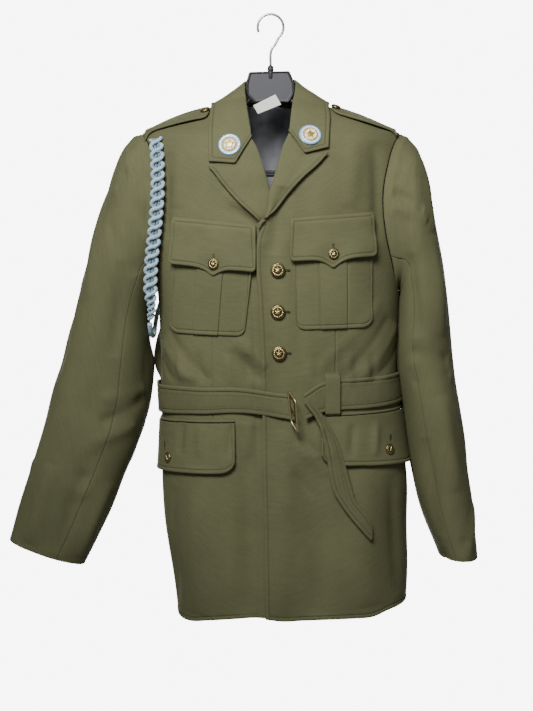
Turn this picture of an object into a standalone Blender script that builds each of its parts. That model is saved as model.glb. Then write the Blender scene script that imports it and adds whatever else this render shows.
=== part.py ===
"""Belted olive dress tunic, hung on a plastic suit hanger with a steel hook.

The front faces -Y, the wearer's left is +X and +Z is up. The origin is where the
hook bears on its rail. Tables and sizes are in millimetres.
"""

import math

import bmesh
import bpy
import numpy as np

MM = 0.001

# Cloth and layers
CLOTH = 2.0  # serge, interlining and lining as one wall
DOUBLE_CLOTH = 2.6  # flaps, straps and the belt, which are two layers of serge
SEAM = 0.3  # gap between pieces sewn together, and between layers
LAP = CLOTH + SEAM  # how far a layer stands out from the one below
FRONT_BUTTON, POCKET_BUTTON, STRAP_BUTTON = 21.0, 15.9, 14.5
DISC = 31.8
KEEPER_WIDTH = 21.0

# Rows and columns of the panels
PANEL_ROWS, PANEL_COLUMNS = 30, 9

# Body sections, from the neck to the hem. The edges are where the side outline is.
BODY_COLUMNS = ("z", "left", "right", "front", "back", "power")
BODY = (
    (-116.0, -40, 40, 28, 50, 2.00),
    (-120.5, -50, 50, 34, 58, 2.00),
    (-129.5, -75, 75, 48, 70, 2.00),
    (-139.0, -100, 100, 60, 78, 2.00),
    (-148.5, -125, 125, 69, 84, 2.05),
    (-158.0, -150, 150, 77, 89, 2.10),
    (-167.0, -174, 175, 84, 93, 2.10),
    (-173.5, -190, 192, 89, 95, 2.15),
    (-182.0, -194, 196, 94, 98, 2.20),
    (-200.0, -193, 197, 101, 104, 2.25),
    (-230.0, -191, 197, 109, 109, 2.30),
    (-270.0, -187, 196, 115, 113, 2.35),
    (-320.0, -181, 193, 119, 115, 2.40),
    (-370.0, -174, 189, 121, 116, 2.45),
    (-405.0, -168, 187, 121, 115, 2.50),
    (-480.0, -164, 184.5, 118, 111, 2.50),
    (-525.0, -163.5, 185, 115, 109, 2.50),
    (-565.0, -163, 189.5, 113, 107, 2.50),
    (-620.0, -163, 195.5, 116, 110, 2.50),
    (-690.0, -162, 204, 120, 114, 2.50),
    (-750.0, -159, 205.5, 122, 117, 2.50),
    (-825.0, -147, 205.5, 124, 120, 2.50),
    (-910.0, -139, 203.5, 125, 121, 2.50),
)

# How far the back blouses out behind the arms, above the belt and over the left hip
BLOUSE_COLUMNS = ("z", "left", "right")
BLOUSE = (
    (-395.0, 0.0, 0.0),
    (-425.0, 0.0, 3.0),
    (-445.0, 4.0, 6.5),
    (-484.0, 22.0, 9.0),
    (-524.0, 24.0, 8.0),
    (-543.0, 13.0, 8.0),
    (-563.0, 3.0, 8.5),
    (-603.0, 1.0, 11.5),
    (-643.0, 0.0, 11.5),
    (-682.0, 0.0, 6.0),
    (-722.0, 0.0, 1.0),
    (-760.0, 0.0, 0.0),
)

# Armhole seams as seen from the front, from the shoulder tip to the armpit
ARMHOLE_COLUMNS = ("z", "left", "right")
ARMHOLE = (
    (-173.5, -190.0, 192.0),
    (-182.0, -183.0, 185.0),
    (-197.0, -175.0, 177.0),
    (-220.0, -166.0, 170.0),
    (-261.0, -158.0, 163.0),
    (-290.0, -158.0, 163.0),
    (-327.0, -161.0, 168.0),
    (-365.0, -165.0, 178.0),
    (-405.0, -168.0, 187.0),
)


def curve(table, columns, name):
    """A smooth function of the first column through one named column of a table."""
    rows = np.array(sorted(row for row in table), float)
    x, y = rows[:, 0], rows[:, columns.index(name)]
    slopes = np.gradient(y, x)

    def value(at):
        at = np.clip(np.asarray(at, float), x[0], x[-1])
        i = np.clip(np.searchsorted(x, at) - 1, 0, len(x) - 2)
        step = x[i + 1] - x[i]
        t = (at - x[i]) / step
        ease = t * t * (3 - 2 * t)
        return (
            y[i] * (1 - ease)
            + y[i + 1] * ease
            + slopes[i] * step * t * (1 - t) ** 2
            - slopes[i + 1] * step * t * t * (1 - t)
        )

    return value


SECTION = {name: curve(BODY, BODY_COLUMNS, name) for name in BODY_COLUMNS[1:]}
BLOUSING = {name: curve(BLOUSE, BLOUSE_COLUMNS, name) for name in BLOUSE_COLUMNS[1:]}
ARM_SEAM = {name: curve(ARMHOLE, ARMHOLE_COLUMNS, name) for name in ARMHOLE_COLUMNS[1:]}
SHOULDER_Z, ARMPIT_Z, NECK_Z = -173.5, -405.0, -121.0


# ---- surface of the coat


def section_at(z):
    """Centre, half width, front depth, back depth and power of the section at height z."""
    left, right, front, back, power = (SECTION[name](z) for name in BODY_COLUMNS[1:])
    return (left + right) / 2, (right - left) / 2, front, back, power


def skin(angle, z):
    """Point of the coat at an angle about its length: 0 is the front, 90 degrees +X."""
    centre, half, front, back, power = section_at(z)
    sine, cosine = np.sin(angle), np.cos(angle)
    x = centre + half * np.sign(sine) * np.abs(sine) ** (2 / power)
    depth = np.where(cosine > 0, front, back)
    share = np.abs(cosine) ** (2 / power)
    fullness = np.where(cosine < 0, 27.0 * share**2.6 * (1 - share) ** 2.2, 0)
    swell = np.where(sine < 0, -BLOUSING["left"](z), BLOUSING["right"](z))
    return np.stack([x + fullness * swell, -depth * np.sign(cosine) * share, z + 0 * x], axis=-1)


def outward(angle, z):
    """Unit normal of the coat, pointing out of it."""
    across = skin(angle + 0.004, z) - skin(angle - 0.004, z)
    down = skin(angle, z - 0.5) - skin(angle, z + 0.5)
    normal = np.cross(down, across)
    return normal / np.linalg.norm(normal, axis=-1, keepdims=True)


def layer(angle, z, lift=0.0):
    """Point that stands out from the coat by lift."""
    angle, z = np.asarray(angle, float), np.asarray(z, float)
    return skin(angle, z) + outward(angle, z) * np.asarray(lift, float)[..., None]


def angle_of(x, z, back=False):
    """Angle at which the front, or the back, of the coat passes through x."""
    centre, half, _, _, power = section_at(z)
    share = np.clip((x - centre) / half, -1, 1)
    angle = np.arcsin(np.sign(share) * np.abs(share) ** (power / 2))
    return np.where(back, math.pi - angle, angle)


def between(start, end, z, count):
    """Angles from start to end at height z, evenly spaced along the cloth."""
    angles = np.linspace(start, end, 241)
    steps = np.linalg.norm(np.diff(skin(angles, z), axis=0), axis=1)
    along = np.concatenate([[0], np.cumsum(steps)])
    margin = SEAM / 2
    return np.interp(np.linspace(margin, along[-1] - margin, count), along, angles)


def beyond(angle, z, distance):
    """Angle reached by going that far round from angle, towards +X when positive."""
    angles = angle + np.linspace(0, math.copysign(1.2, distance), 121)
    steps = np.linalg.norm(np.diff(skin(angles, z), axis=0), axis=1)
    along = np.concatenate([[0], np.cumsum(steps)])
    return float(np.interp(abs(distance), along, angles))


def eased(low, high, value):
    """0 below low, 1 above high, smooth between."""
    t = np.clip((np.asarray(value, float) - low) / (high - low), 0, 1)
    return t * t * (3 - 2 * t)


# ---- shapes


def material(name, colour, roughness, metallic=0.0):
    """Plain Principled material, made once."""
    made = bpy.data.materials.get(name)
    if made:
        return made
    made = bpy.data.materials.new(name)
    made.use_nodes = True
    shader = made.node_tree.nodes["Principled BSDF"]
    shader.inputs["Base Color"].default_value = (*colour, 1.0)
    shader.inputs["Roughness"].default_value = roughness
    shader.inputs["Metallic"].default_value = metallic
    return made


def serge():
    return material("olive wool serge", (0.115, 0.108, 0.048), 0.9)


def satin():
    return material("dark satin lining", (0.020, 0.021, 0.028), 0.35)


def gilt():
    return material("antique gilt brass", (0.42, 0.31, 0.13), 0.35, 1.0)


def braid_blue():
    return material("light blue rayon braid", (0.28, 0.50, 0.70), 0.6)


def enamel():
    return material("pale blue enamel", (0.55, 0.72, 0.85), 0.3)


def black_plastic():
    return material("black moulded plastic", (0.02, 0.02, 0.022), 0.4)


def grey_plastic():
    return material("grey moulded plastic", (0.45, 0.45, 0.46), 0.5)


def steel():
    return material("zinc plated steel wire", (0.6, 0.6, 0.62), 0.3, 1.0)


def white_tape():
    return material("white woven tape", (0.8, 0.8, 0.78), 0.8)


def add_object(name, mesh_builder, look):
    """Object from a bmesh, whose sizes are in millimetres."""
    bmesh.ops.scale(mesh_builder, vec=(MM, MM, MM), verts=mesh_builder.verts)
    mesh = bpy.data.meshes.new(name)
    mesh_builder.to_mesh(mesh)
    mesh_builder.free()
    mesh.materials.append(look)
    made = bpy.data.objects.new(name, mesh)
    bpy.context.collection.objects.link(made)
    return made


def add_grid(builder, points, flip=False, ring=False, loop=False):
    """Quads over a grid of points. Rows run down, columns towards +X on the front."""
    rows, columns = points.shape[:2]
    verts = [[builder.verts.new(point) for point in row] for row in points]
    for i in range(rows if loop else rows - 1):
        below = verts[(i + 1) % rows]
        for j in range(columns if ring else columns - 1):
            k = (j + 1) % columns
            corners = [verts[i][j], below[j], below[k], verts[i][k]]
            builder.faces.new(corners[::-1] if flip else corners)
    return verts


def grid_normals(points, flip=False):
    """Unit normals of a grid, on the side that add_grid's faces look to."""
    normals = np.cross(np.gradient(points, axis=0), np.gradient(points, axis=1))
    normals /= np.linalg.norm(normals, axis=-1, keepdims=True)
    return -normals if flip else normals


def cloth(name, points, look, wall=CLOTH, flip=False, normals=None):
    """Cloth wall: its outside is the grid of points, its inside lies one wall below."""
    if normals is None:
        normals = grid_normals(points, flip)
    builder = bmesh.new()
    outside = add_grid(builder, points, flip)
    inside = add_grid(builder, points - normals * wall, not flip)

    def border(grid):
        return grid[0][:-1] + [row[-1] for row in grid[:-1]] + grid[-1][:0:-1] + [
            row[0] for row in grid[:0:-1]
        ]

    rim, under = border(outside), border(inside)
    for i in range(len(rim)):
        corners = [rim[i - 1], rim[i], under[i], under[i - 1]]
        builder.faces.new(corners[::-1] if flip else corners)
    return add_object(name, builder, look)


def sweep(name, path, half_widths, half_heights, look, sides=10, up=(0, 0, 1), closed=False):
    """Bar of elliptic section along a path, with capped ends unless it is closed."""
    path = np.asarray(path, float)
    count = len(path)
    half_widths = np.broadcast_to(half_widths, count)
    half_heights = np.broadcast_to(half_heights, count)
    if closed:
        tangents = np.roll(path, -1, axis=0) - np.roll(path, 1, axis=0)
    else:
        tangents = np.gradient(path, axis=0)
    tangents /= np.linalg.norm(tangents, axis=1, keepdims=True)
    turns = np.arange(sides) / sides * 2 * math.pi
    reference = np.asarray(up, float)
    rings = []
    for point, tangent, width, height in zip(path, tangents, half_widths, half_heights):
        side = np.cross(tangent, reference)
        side /= np.linalg.norm(side)
        top = np.cross(side, tangent)
        rings.append(
            point + width * np.cos(turns)[:, None] * side + height * np.sin(turns)[:, None] * top
        )
        reference = top
    builder = bmesh.new()
    verts = add_grid(builder, np.array(rings), ring=True, loop=closed)
    if not closed:
        builder.faces.new(verts[0])
        builder.faces.new(verts[-1][::-1])
    bmesh.ops.recalc_face_normals(builder, faces=builder.faces)
    return add_object(name, builder, look)


def lathe(name, profile, centre, axis, look, segments=12, hollow=False):
    """Turned piece of (radius, height) rows. A hollow one is a ring of closed section."""
    axis = np.asarray(axis, float) / np.linalg.norm(axis)
    reference = (1.0, 0.0, 0.0) if abs(axis[2]) > 0.9 else (0.0, 0.0, 1.0)
    side = np.cross(axis, reference)
    side /= np.linalg.norm(side)
    other = np.cross(axis, side)
    turns = np.arange(segments) / segments * 2 * math.pi
    spokes = np.cos(turns)[:, None] * side + np.sin(turns)[:, None] * other
    rings = [np.asarray(centre) + axis * height + spokes * radius for radius, height in profile]
    builder = bmesh.new()
    verts = add_grid(builder, np.array(rings), ring=True, loop=hollow)
    if not hollow:
        builder.faces.new(verts[0])
        builder.faces.new(verts[-1][::-1])
    bmesh.ops.recalc_face_normals(builder, faces=builder.faces)
    return add_object(name, builder, look)


def through(points, count):
    """Smooth path of count points through the given ones."""
    points = np.asarray(points, float)
    table = [(float(i), *point) for i, point in enumerate(points)]
    names = ("row",) + tuple(range(points.shape[1]))
    at = np.linspace(0, len(points) - 1, count)
    return np.stack([curve(table, names, name)(at) for name in names[1:]], axis=-1)


# ---- body panels

# Where each front ends towards the middle: neckline and roll line, then the front edge
EDGE_COLUMNS = ("z", "x")
LEFT_FRONT_EDGE = (
    (-121.0, 45.0),
    (-128.0, 43.0),
    (-146.0, 37.0),
    (-168.0, 31.0),
    (-190.0, 20.5),
    (-214.0, 13.0),
    (-235.0, 7.5),
    (-262.0, -1.0),
    (-292.0, -5.5),
    (-323.0, -9.5),
    (-345.0, -9.0),
    (-587.0, -7.0),
    (-871.0, -4.0),
    (-900.0, -4.0),
)
RIGHT_FRONT_EDGE = (
    (-121.0, -45.0),
    (-128.0, -44.0),
    (-146.0, -40.0),
    (-168.0, -34.0),
    (-186.0, -28.0),
    (-202.0, -19.0),
    (-232.0, -10.0),
    (-262.0, -1.5),
    (-292.0, 8.0),
    (-322.0, 14.0),
    (-345.0, 26.0),
    (-370.0, 30.0),
    (-900.0, 30.0),
)
LEFT_EDGE_X = curve(LEFT_FRONT_EDGE, EDGE_COLUMNS, "x")
RIGHT_EDGE_X = curve(RIGHT_FRONT_EDGE, EDGE_COLUMNS, "x")

# Hem height by x, on the front and on the back
HEM_COLUMNS = ("x", "front", "back")
HEM = (
    (-160.0, -886.0, -880.0),
    (-124.0, -889.0, -884.0),
    (-90.0, -882.0, -882.0),
    (-50.0, -876.0, -880.0),
    (-15.0, -873.5, -878.5),
    (15.0, -878.0, -877.5),
    (50.0, -876.5, -876.0),
    (90.0, -875.5, -874.0),
    (120.0, -876.0, -872.0),
    (150.0, -876.0, -870.0),
    (171.0, -870.0, -868.5),
    (205.0, -866.0, -866.0),
)


def lift_left(x, z):
    """The left front laps over: it rises where the right lapel lies under it."""
    return LAP * (1 - eased(18, 55, x)) * eased(-356, -328, z) * (1 - eased(-262, -215, z))


def lift_right(x, z):
    """The right front laps under: it sinks by one layer next to the middle."""
    return -(LAP + SEAM) * eased(-62, -22, x) * (1 - eased(-262, -230, z)) * (1 + 0 * x)


def panel_heights(hem):
    """Heights of a panel's rows: close together on the shoulder, even below it."""
    shoulder = np.linspace(NECK_Z, SHOULDER_Z, 8)
    arm = np.linspace(SHOULDER_Z, ARMPIT_Z, 11)[1:]
    skirt = np.linspace(ARMPIT_Z, hem, PANEL_ROWS - 17)[1:]
    return np.concatenate([shoulder, arm, skirt])


def outer_angle(z, side, back=False):
    """Angle of the shoulder seam, armhole or side seam on one side, +1 for the wearer's left."""
    if z >= SHOULDER_Z or z <= ARMPIT_Z:
        return side * math.pi / 2
    x = ARM_SEAM["right" if side > 0 else "left"](z)
    angle = float(angle_of(x, z))
    return side * math.pi - angle if back else angle


def hem_shift(points, z, heights, back=False):
    """Slides the skirt's rows so that the last one follows the hem."""
    hem = curve(HEM, HEM_COLUMNS, "back" if back else "front")
    share = np.clip((ARMPIT_Z - z) / (ARMPIT_Z - heights[-1]), 0, 1) ** 2
    return z + share * (hem(points[..., 0]) - heights[-1])


def front_panel(name, side):
    """One front, from its edge or roll line to the side seam, armhole and shoulder seam."""
    edge_x = LEFT_EDGE_X if side > 0 else RIGHT_EDGE_X
    lift = lift_left if side > 0 else lift_right
    heights = panel_heights(-880.0)
    angles = []
    for z in heights:
        ends = [float(angle_of(edge_x(z), z)), outer_angle(z, side)]
        row = between(ends[0], ends[1], z, PANEL_COLUMNS)
        angles.append(row if side > 0 else row[::-1])
    angles = np.array(angles)
    z = np.repeat(heights[:, None], PANEL_COLUMNS, axis=1)
    z = hem_shift(skin(angles, z), z, heights)
    x = skin(angles, z)[..., 0]
    return cloth(name, layer(angles, z, lift(x, z)), serge(), normals=outward(angles, z))


def back_panel(name, side):
    """One back, from the centre seam to the side seam, armhole and shoulder seam."""
    heights = panel_heights(-880.0)
    neck_depth, neck_half = 9.0, 45.0
    angles = []
    for z in heights:
        dip = np.clip((NECK_Z - z) / neck_depth, 0, 1)
        neck_x = side * neck_half * math.sqrt(1 - dip)
        inner = float(angle_of(neck_x + dip * section_at(z)[0], z, back=True))
        inner = inner if side > 0 else inner - 2 * math.pi
        row = between(inner, outer_angle(z, side, back=True), z, PANEL_COLUMNS)
        angles.append(row if side > 0 else row[::-1])
    angles = np.array(angles)
    z = np.repeat(heights[:, None], PANEL_COLUMNS, axis=1)
    z = hem_shift(skin(angles, z), z, heights, back=True)
    return cloth(name, layer(angles, z), serge(), flip=True, normals=outward(angles, z))


# ---- sleeves

SLEEVE_COLUMNS = ("outer x", "outer z", "inner x", "inner z", "middle y", "half depth")
LEFT_SLEEVE = (
    (205.5, -183, 189.0, -407.0, 0, 78),
    (219.5, -199, 190.0, -409.5, 0, 80),
    (229.5, -227, 190.8, -413.0, 0, 80),
    (239, -270, 191.2, -418.0, 0, 80),
    (250.5, -330, 191.5, -427.0, 0, 79),
    (262, -405, 190.8, -450.0, 0, 77),
    (269, -470, 188.6, -490.0, 0, 74),
    (275.5, -530, 194.6, -540.0, -2, 72),
    (284.5, -578, 200.0, -583.0, -4, 70),
    (290, -622, 206.0, -624.0, -7, 68),
    (295, -668, 210.5, -668.0, -10, 66),
    (301, -714, 219.0, -710.0, -14, 64),
    (305.5, -757, 234.0, -753.0, -18, 62),
    (310, -801, 252.5, -799.0, -22, 60),
)
RIGHT_SLEEVE = (
    (-205.5, -183, -170.5, -408, 0, 78),
    (-220.5, -201, -172.5, -411, 0, 80),
    (-233.5, -230, -174.5, -415, 0, 80),
    (-244.5, -272, -176.5, -421, 0, 80),
    (-259.5, -320, -178.5, -430, 0, 78),
    (-280.5, -390, -180.5, -448, 0, 75),
    (-298.5, -455, -182.0, -478, 0, 72),
    (-312, -505, -183.5, -520, -1, 68),
    (-327, -558, -187.0, -585, -3, 64),
    (-341, -610, -201.0, -638, -6, 60),
    (-356, -660, -222.0, -690, -9, 55),
    (-371, -708, -243.0, -740, -12, 50),
    (-383, -746, -261.0, -780, -15, 46),
    (-391.5, -777, -280.0, -814.5, -18, 42),
)
SLEEVE_POWER = 2.15
FRONT_SEAM_DEG, BACK_SEAM_DEG = (124.0, 108.0), (-112.0, -100.0)  # at the armhole and cuff
SEAM_DEG = 0.12  # half the seam gap, as a turn about the sleeve


def round_share(turn, power):
    """Cosine and sine of a turn, squared off by the power of the section."""
    cosine, sine = np.cos(turn), np.sin(turn)
    return (
        np.sign(cosine) * np.abs(cosine) ** (2 / power),
        np.sign(sine) * np.abs(sine) ** (2 / power),
    )


def armhole_ring(turn, side):
    """Seam line of the armhole: turn 0 is the shoulder tip, 90 degrees the front."""
    z = (SHOULDER_Z + ARMPIT_Z) / 2 + (SHOULDER_Z - ARMPIT_Z) / 2 * np.cos(turn)
    front = angle_of(ARM_SEAM["right" if side > 0 else "left"](z), z)
    angle = np.where(np.sin(turn) < 0, side * math.pi - front, front)
    return layer(angle, z) + np.array([side * 2 * SEAM, 0, 0])


def sleeve_rings(turns, side):
    """Rows of the sleeve from the armhole to the cuff, one column per turn."""
    table = LEFT_SLEEVE if side > 0 else RIGHT_SLEEVE
    rows = [armhole_ring(turns[0], side)]
    for row, turn in zip(table, turns[1:]):
        outer_x, outer_z, inner_x, inner_z, middle_y, half_depth = row
        across, depth = round_share(turn, SLEEVE_POWER)
        x = (outer_x + inner_x) / 2 + (outer_x - inner_x) / 2 * across
        z = (outer_z + inner_z) / 2 + (outer_z - inner_z) / 2 * across
        rows.append(np.stack([x, middle_y - half_depth * depth, z], axis=-1))
    return np.array(rows)


def sleeve_half(name, side, top):
    """Top or under sleeve, between the front and back seams."""
    count = len(LEFT_SLEEVE) + 1
    front = np.linspace(*FRONT_SEAM_DEG, count)
    back = np.linspace(*BACK_SEAM_DEG, count)
    columns = 17 if top else 9
    if top:
        starts, ends = back + SEAM_DEG, front - SEAM_DEG
    else:
        starts, ends = front + SEAM_DEG, back + 360 - SEAM_DEG
    turns = np.radians(np.linspace(starts, ends, columns, axis=1))
    points = sleeve_rings(turns, side)
    nudge = 0.02
    across = sleeve_rings(turns + nudge, side) - sleeve_rings(turns - nudge, side)
    normals = np.cross(np.gradient(points, axis=0), across) * -side
    normals /= np.linalg.norm(normals, axis=-1, keepdims=True)
    return cloth(name, points, serge(), flip=side > 0, normals=normals)


# ---- collar and lapels


def on_front(x, z, lift, side):
    """Point over the front of the coat, standing out from that side's front panel."""
    below = lift_left(x, z) if side > 0 else lift_right(x, z)
    return layer(angle_of(x, z), z, below + lift)


CHORD = 0.8  # what lies on a panel stands this much more off, for the panel's flat facets
LAPEL_COLUMNS = ("roll x", "roll z", "middle x", "middle z", "edge x", "edge z")
LEFT_LAPEL = (
    (-9.5, -321.0, -11.0, -315.0, -12.5, -309.0),
    (-5.5, -292.0, 0.0, -291.0, 6.0, -289.0),
    (-1.0, -262.0, 13.0, -264.0, 26.0, -265.0),
    (7.5, -235.0, 27.0, -240.0, 46.0, -243.0),
    (17.0, -203.0, 40.0, -220.0, 65.0, -226.0),
    (27.0, -180.0, 48.0, -212.0, 82.0, -207.0),
)
RIGHT_LAPEL = (
    (14.0, -322.0, 4.0, -319.0, -8.0, -315.0),
    (8.0, -292.0, -8.0, -295.0, -24.0, -297.0),
    (-1.5, -262.0, -24.0, -272.0, -44.0, -279.0),
    (-10.0, -232.0, -36.0, -249.0, -66.0, -254.0),
    (-19.0, -204.0, -42.0, -230.0, -79.0, -237.0),
    (-27.5, -188.5, -50.0, -226.0, -88.0, -227.0),
)


def three_point_rows(table, names, count, columns):
    """Grid whose rows run in a bend through three points read from a table."""
    indexed = [(float(i), *row) for i, row in enumerate(table)]
    header = ("row",) + names
    rows = np.linspace(0, len(table) - 1, count)
    values = [curve(indexed, header, name)(rows) for name in names]
    size = len(names) // 3
    ends = [np.stack(values[size * k : size * (k + 1)], axis=-1) for k in range(3)]
    share = np.linspace(0, 1, columns)[None, :, None]
    knee = 0.45
    first, second = np.clip(share / knee, 0, 1), np.clip((share - knee) / (1 - knee), 0, 1)
    return ends[0][:, None] * (1 - first) + ends[1][:, None] * (
        first - second
    ) + ends[2][:, None] * second


def lapel(name, side):
    """Facing turned out over the front, from the roll line to its edge."""
    table = LEFT_LAPEL if side > 0 else RIGHT_LAPEL
    flat = three_point_rows(table, LAPEL_COLUMNS, 11, 6)[::-1]
    points = on_front(flat[..., 0], flat[..., 1], LAP, side)
    return cloth(name, points, serge(), flip=side < 0)


# Collar fall, from the end at the left lapel round the neck to the right. A row with no
# y lies on the front; the others stand clear of the shoulders and the back.
COLLAR_COLUMNS = ("fold x", "fold y", "fold z", "middle x", "middle y", "middle z",
                  "edge x", "edge y", "edge z")
COLLAR_LEFT_FRONT = (
    (27.0, None, -178.5, 48.0, None, -208.5, 82.0, None, -200.0),
    (29.5, None, -160.0, 52.0, None, -178.0, 83.5, None, -178.0),
    (32.0, None, -143.0, 56.0, None, -154.0, 85.0, None, -158.0),
)
COLLAR_RIGHT_FRONT = (
    (-28.0, None, -187.0, -50.0, None, -222.5, -87.5, None, -220.0),
    (-31.0, None, -167.0, -54.0, None, -190.0, -88.0, None, -196.0),
    (-34.5, None, -148.0, -58.0, None, -162.0, -88.5, None, -172.0),
)
COLLAR_LEFT_SIDE = (
    (36.0, -34.0, -119.0, 59.0, -46.0, -134.0, 85.0, -45.0, -141.0),
    (39.0, -16.0, -104.0, 62.0, -24.0, -119.0, 85.5, -24.0, -133.0),
    (41.0, 8.0, -97.0, 63.0, 6.0, -115.0, 85.5, 4.0, -130.0),
    (37.0, 34.0, -91.0, 52.0, 44.0, -112.0, 70.0, 52.0, -132.0),
    (22.0, 54.0, -89.5, 30.0, 67.0, -111.0, 39.0, 80.0, -137.0),
)
COLLAR_RIGHT_SIDE = (
    (-38.0, -34.0, -122.0, -61.0, -46.0, -139.0, -86.5, -46.0, -146.0),
    (-40.0, -16.0, -105.0, -62.0, -24.0, -122.0, -86.5, -24.0, -135.0),
    (-42.0, 8.0, -99.5, -64.0, 6.0, -116.5, -86.0, 4.0, -132.0),
    (-38.0, 34.0, -93.0, -52.0, 44.0, -113.0, -70.0, 52.0, -133.0),
    (-22.0, 54.0, -90.5, -30.0, 67.0, -112.0, -39.0, 80.0, -138.0),
)
COLLAR_BACK = ((0.0, 60.0, -88.5, 0.0, 74.0, -110.0, 0.0, 86.0, -139.0),)


def collar_rows():
    """Rows of the collar, each with its y worked out where it lies on the front."""
    rows = []
    ordered = (COLLAR_LEFT_FRONT + COLLAR_LEFT_SIDE + COLLAR_BACK
               + COLLAR_RIGHT_SIDE[::-1] + COLLAR_RIGHT_FRONT[::-1])
    for row in ordered:
        filled = []
        for x, y, z in zip(row[0::3], row[1::3], row[2::3]):
            if y is None:
                filled += list(on_front(np.float64(x), np.float64(z), LAP, math.copysign(1, x)))
            else:
                filled += [x, y, z]
        rows.append(tuple(filled))
    return rows


def clear_of_coat(points, lift):
    """Points moved out of the coat until each stands off by at least lift."""
    for _ in range(4):
        centre, half, front, back, power = section_at(points[..., 2])
        depth = np.where(points[..., 1] < 0, front, back)
        across = (points[..., 0] - centre) / half
        ahead = -points[..., 1] / depth
        angle = np.arctan2(
            np.sign(across) * np.abs(across) ** (power / 2),
            np.sign(ahead) * np.abs(ahead) ** (power / 2),
        )
        normal = outward(angle, points[..., 2])
        stands = np.sum((points - skin(angle, points[..., 2])) * normal, axis=-1)
        short = np.where(points[..., 2] < NECK_Z, np.clip(lift - stands, 0, None), 0)
        points = points + normal * short[..., None]
    return points


def collar_grid(rows, columns):
    """Outside of the collar fall, kept clear of the coat: row 0 is the fold."""
    points = np.swapaxes(three_point_rows(collar_rows(), COLLAR_COLUMNS, rows, columns), 0, 1)
    return clear_of_coat(points, LAP + CHORD)


def collar_fall(name):
    """Collar turned down over the neck seam."""
    return cloth(name, collar_grid(33, 6), serge())


def collar_stand(name):
    """Inside of the collar, from the fold down to the neck seam."""
    names = COLLAR_COLUMNS
    points = three_point_rows(collar_rows()[2:-2], names, 25, 6)
    fold = points[:, 0]
    middle = np.array([0.0, 14.0, 0.0])
    inward = middle - fold
    inward[:, 2] = 0
    inward /= np.linalg.norm(inward, axis=1, keepdims=True)
    top = fold + inward * (CLOTH + SEAM) + np.array([0, 0, -0.6])
    share = np.linspace(0, 1, 25)
    height = 6 + 27 * np.sin(np.clip(share, 0, 1) * math.pi) ** 0.7
    base = top - inward * (height * 0.10)[:, None] - np.array([0, 0, 1.0]) * height[:, None]
    rows = [top + (base - top) * part for part in (0, 0.5, 1)]
    return cloth(name, np.array(rows), serge(), wall=1.4)


# ---- pockets

PATCH_COLUMNS = ("top left x", "top right x", "low left x", "low right x", "top z",
                 "low left z", "low right z", "pleat left x", "pleat right x", "pleat lean")
RIGHT_PATCH = (-137.0, -22.0, -145.0, -36.0, -330.0, -464.0, -467.0, -101.0, -63.0, -6.5)
LEFT_PATCH = (28.0, 145.0, 36.0, 144.0, -322.0, -458.0, -455.0, 67.0, 106.0, 5.0)
PATCH_CORNER, PLEAT_RISE = 13.0, 1.3

FLAP_COLUMNS = ("left x", "right x", "top left z", "top right z", "low left z", "point z",
                "low right z")
RIGHT_FLAP = (-139.5, -21.0, -297.0, -309.0, -364.0, -379.0, -376.0)
LEFT_FLAP = (27.0, 146.5, -299.5, -290.0, -361.0, -368.0, -354.0)
FLAP_CORNER = 6.0


def rounded(distance, radius):
    """How far a corner's curve lies inside the corner, at this distance from the side."""
    reach = np.clip(radius - distance, 0, radius)
    return radius - np.sqrt(radius**2 - reach**2)


def breast_patch(name, values, side):
    """Patch pocket with a raised box pleat down its middle."""
    (top_left, top_right, low_left, low_right, top_z, low_left_z, low_right_z,
     pleat_left, pleat_right, lean) = values
    width = low_right - low_left
    pleat = [(pleat_left - top_left) / (top_right - top_left),
             (pleat_right - top_left) / (top_right - top_left)]
    step = 0.006
    share = np.array([0, 0.02, 0.06, 0.12, pleat[0] - step, pleat[0] + step, 0.5,
                      pleat[1] - step, pleat[1] + step, 0.88, 0.94, 0.98, 1])
    raised = np.array([0, 0, 0, 0, 0, 1, 1, 1, 0, 0, 0, 0, 0], float)
    down = np.array([0, 0.25, 0.5, 0.72, 0.88, 0.95, 1.0])[:, None]
    x = (top_left + (top_right - top_left) * share) * (1 - down)
    x = x + (low_left + width * share) * down
    side_distance = np.minimum(share, 1 - share) * width
    low = low_left_z + (low_right_z - low_left_z) * share + rounded(side_distance, PATCH_CORNER)
    z = top_z + (low - top_z) * down
    return cloth(name, on_front(x, z, LAP + CHORD + PLEAT_RISE * raised, side), serge())


def breast_flap(name, values, side):
    """Pointed pocket flap, sewn above the patch and lying over it."""
    left, right, top_left, top_right, low_left, point, low_right = values
    share = np.array([0, 0.02, 0.06, 0.16, 0.28, 0.4, 0.5, 0.6, 0.72, 0.84, 0.94, 0.98, 1])
    x = (left + (right - left) * share)[None, :]
    top = top_left + (top_right - top_left) * share
    edge = low_left + (low_right - low_left) * share
    dip = (point - (low_left + low_right) / 2) * (1 - np.abs(2 * share - 1)) ** 1.6
    low = edge + dip + rounded(np.minimum(share, 1 - share) * (right - left), FLAP_CORNER)
    down = np.array([0, 0.14, 0.36, 0.6, 0.8, 0.92, 1.0])[:, None]
    z = top + (low - top) * down
    rise = DOUBLE_CLOTH + SEAM + CHORD + (CLOTH + SEAM + PLEAT_RISE) * eased(0, 0.14, down)
    return cloth(name, on_front(x, z, rise, side), serge(), wall=DOUBLE_CLOTH)


HIP_COLUMNS = ("front x", "beyond side", "top front z", "top side z", "low front z", "low side z")
RIGHT_HIP = (-51.0, 26.0, -592.0, -599.0, -664.0, -671.0)
LEFT_HIP = (73.0, 15.0, -583.0, -579.0, -652.0, -660.0)
LEFT_JET = (101.0,) + LEFT_HIP[1:]
HIP_CORNER, JET_HEIGHT, JET_GAP = 16.0, 4.2, 1.0


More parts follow.
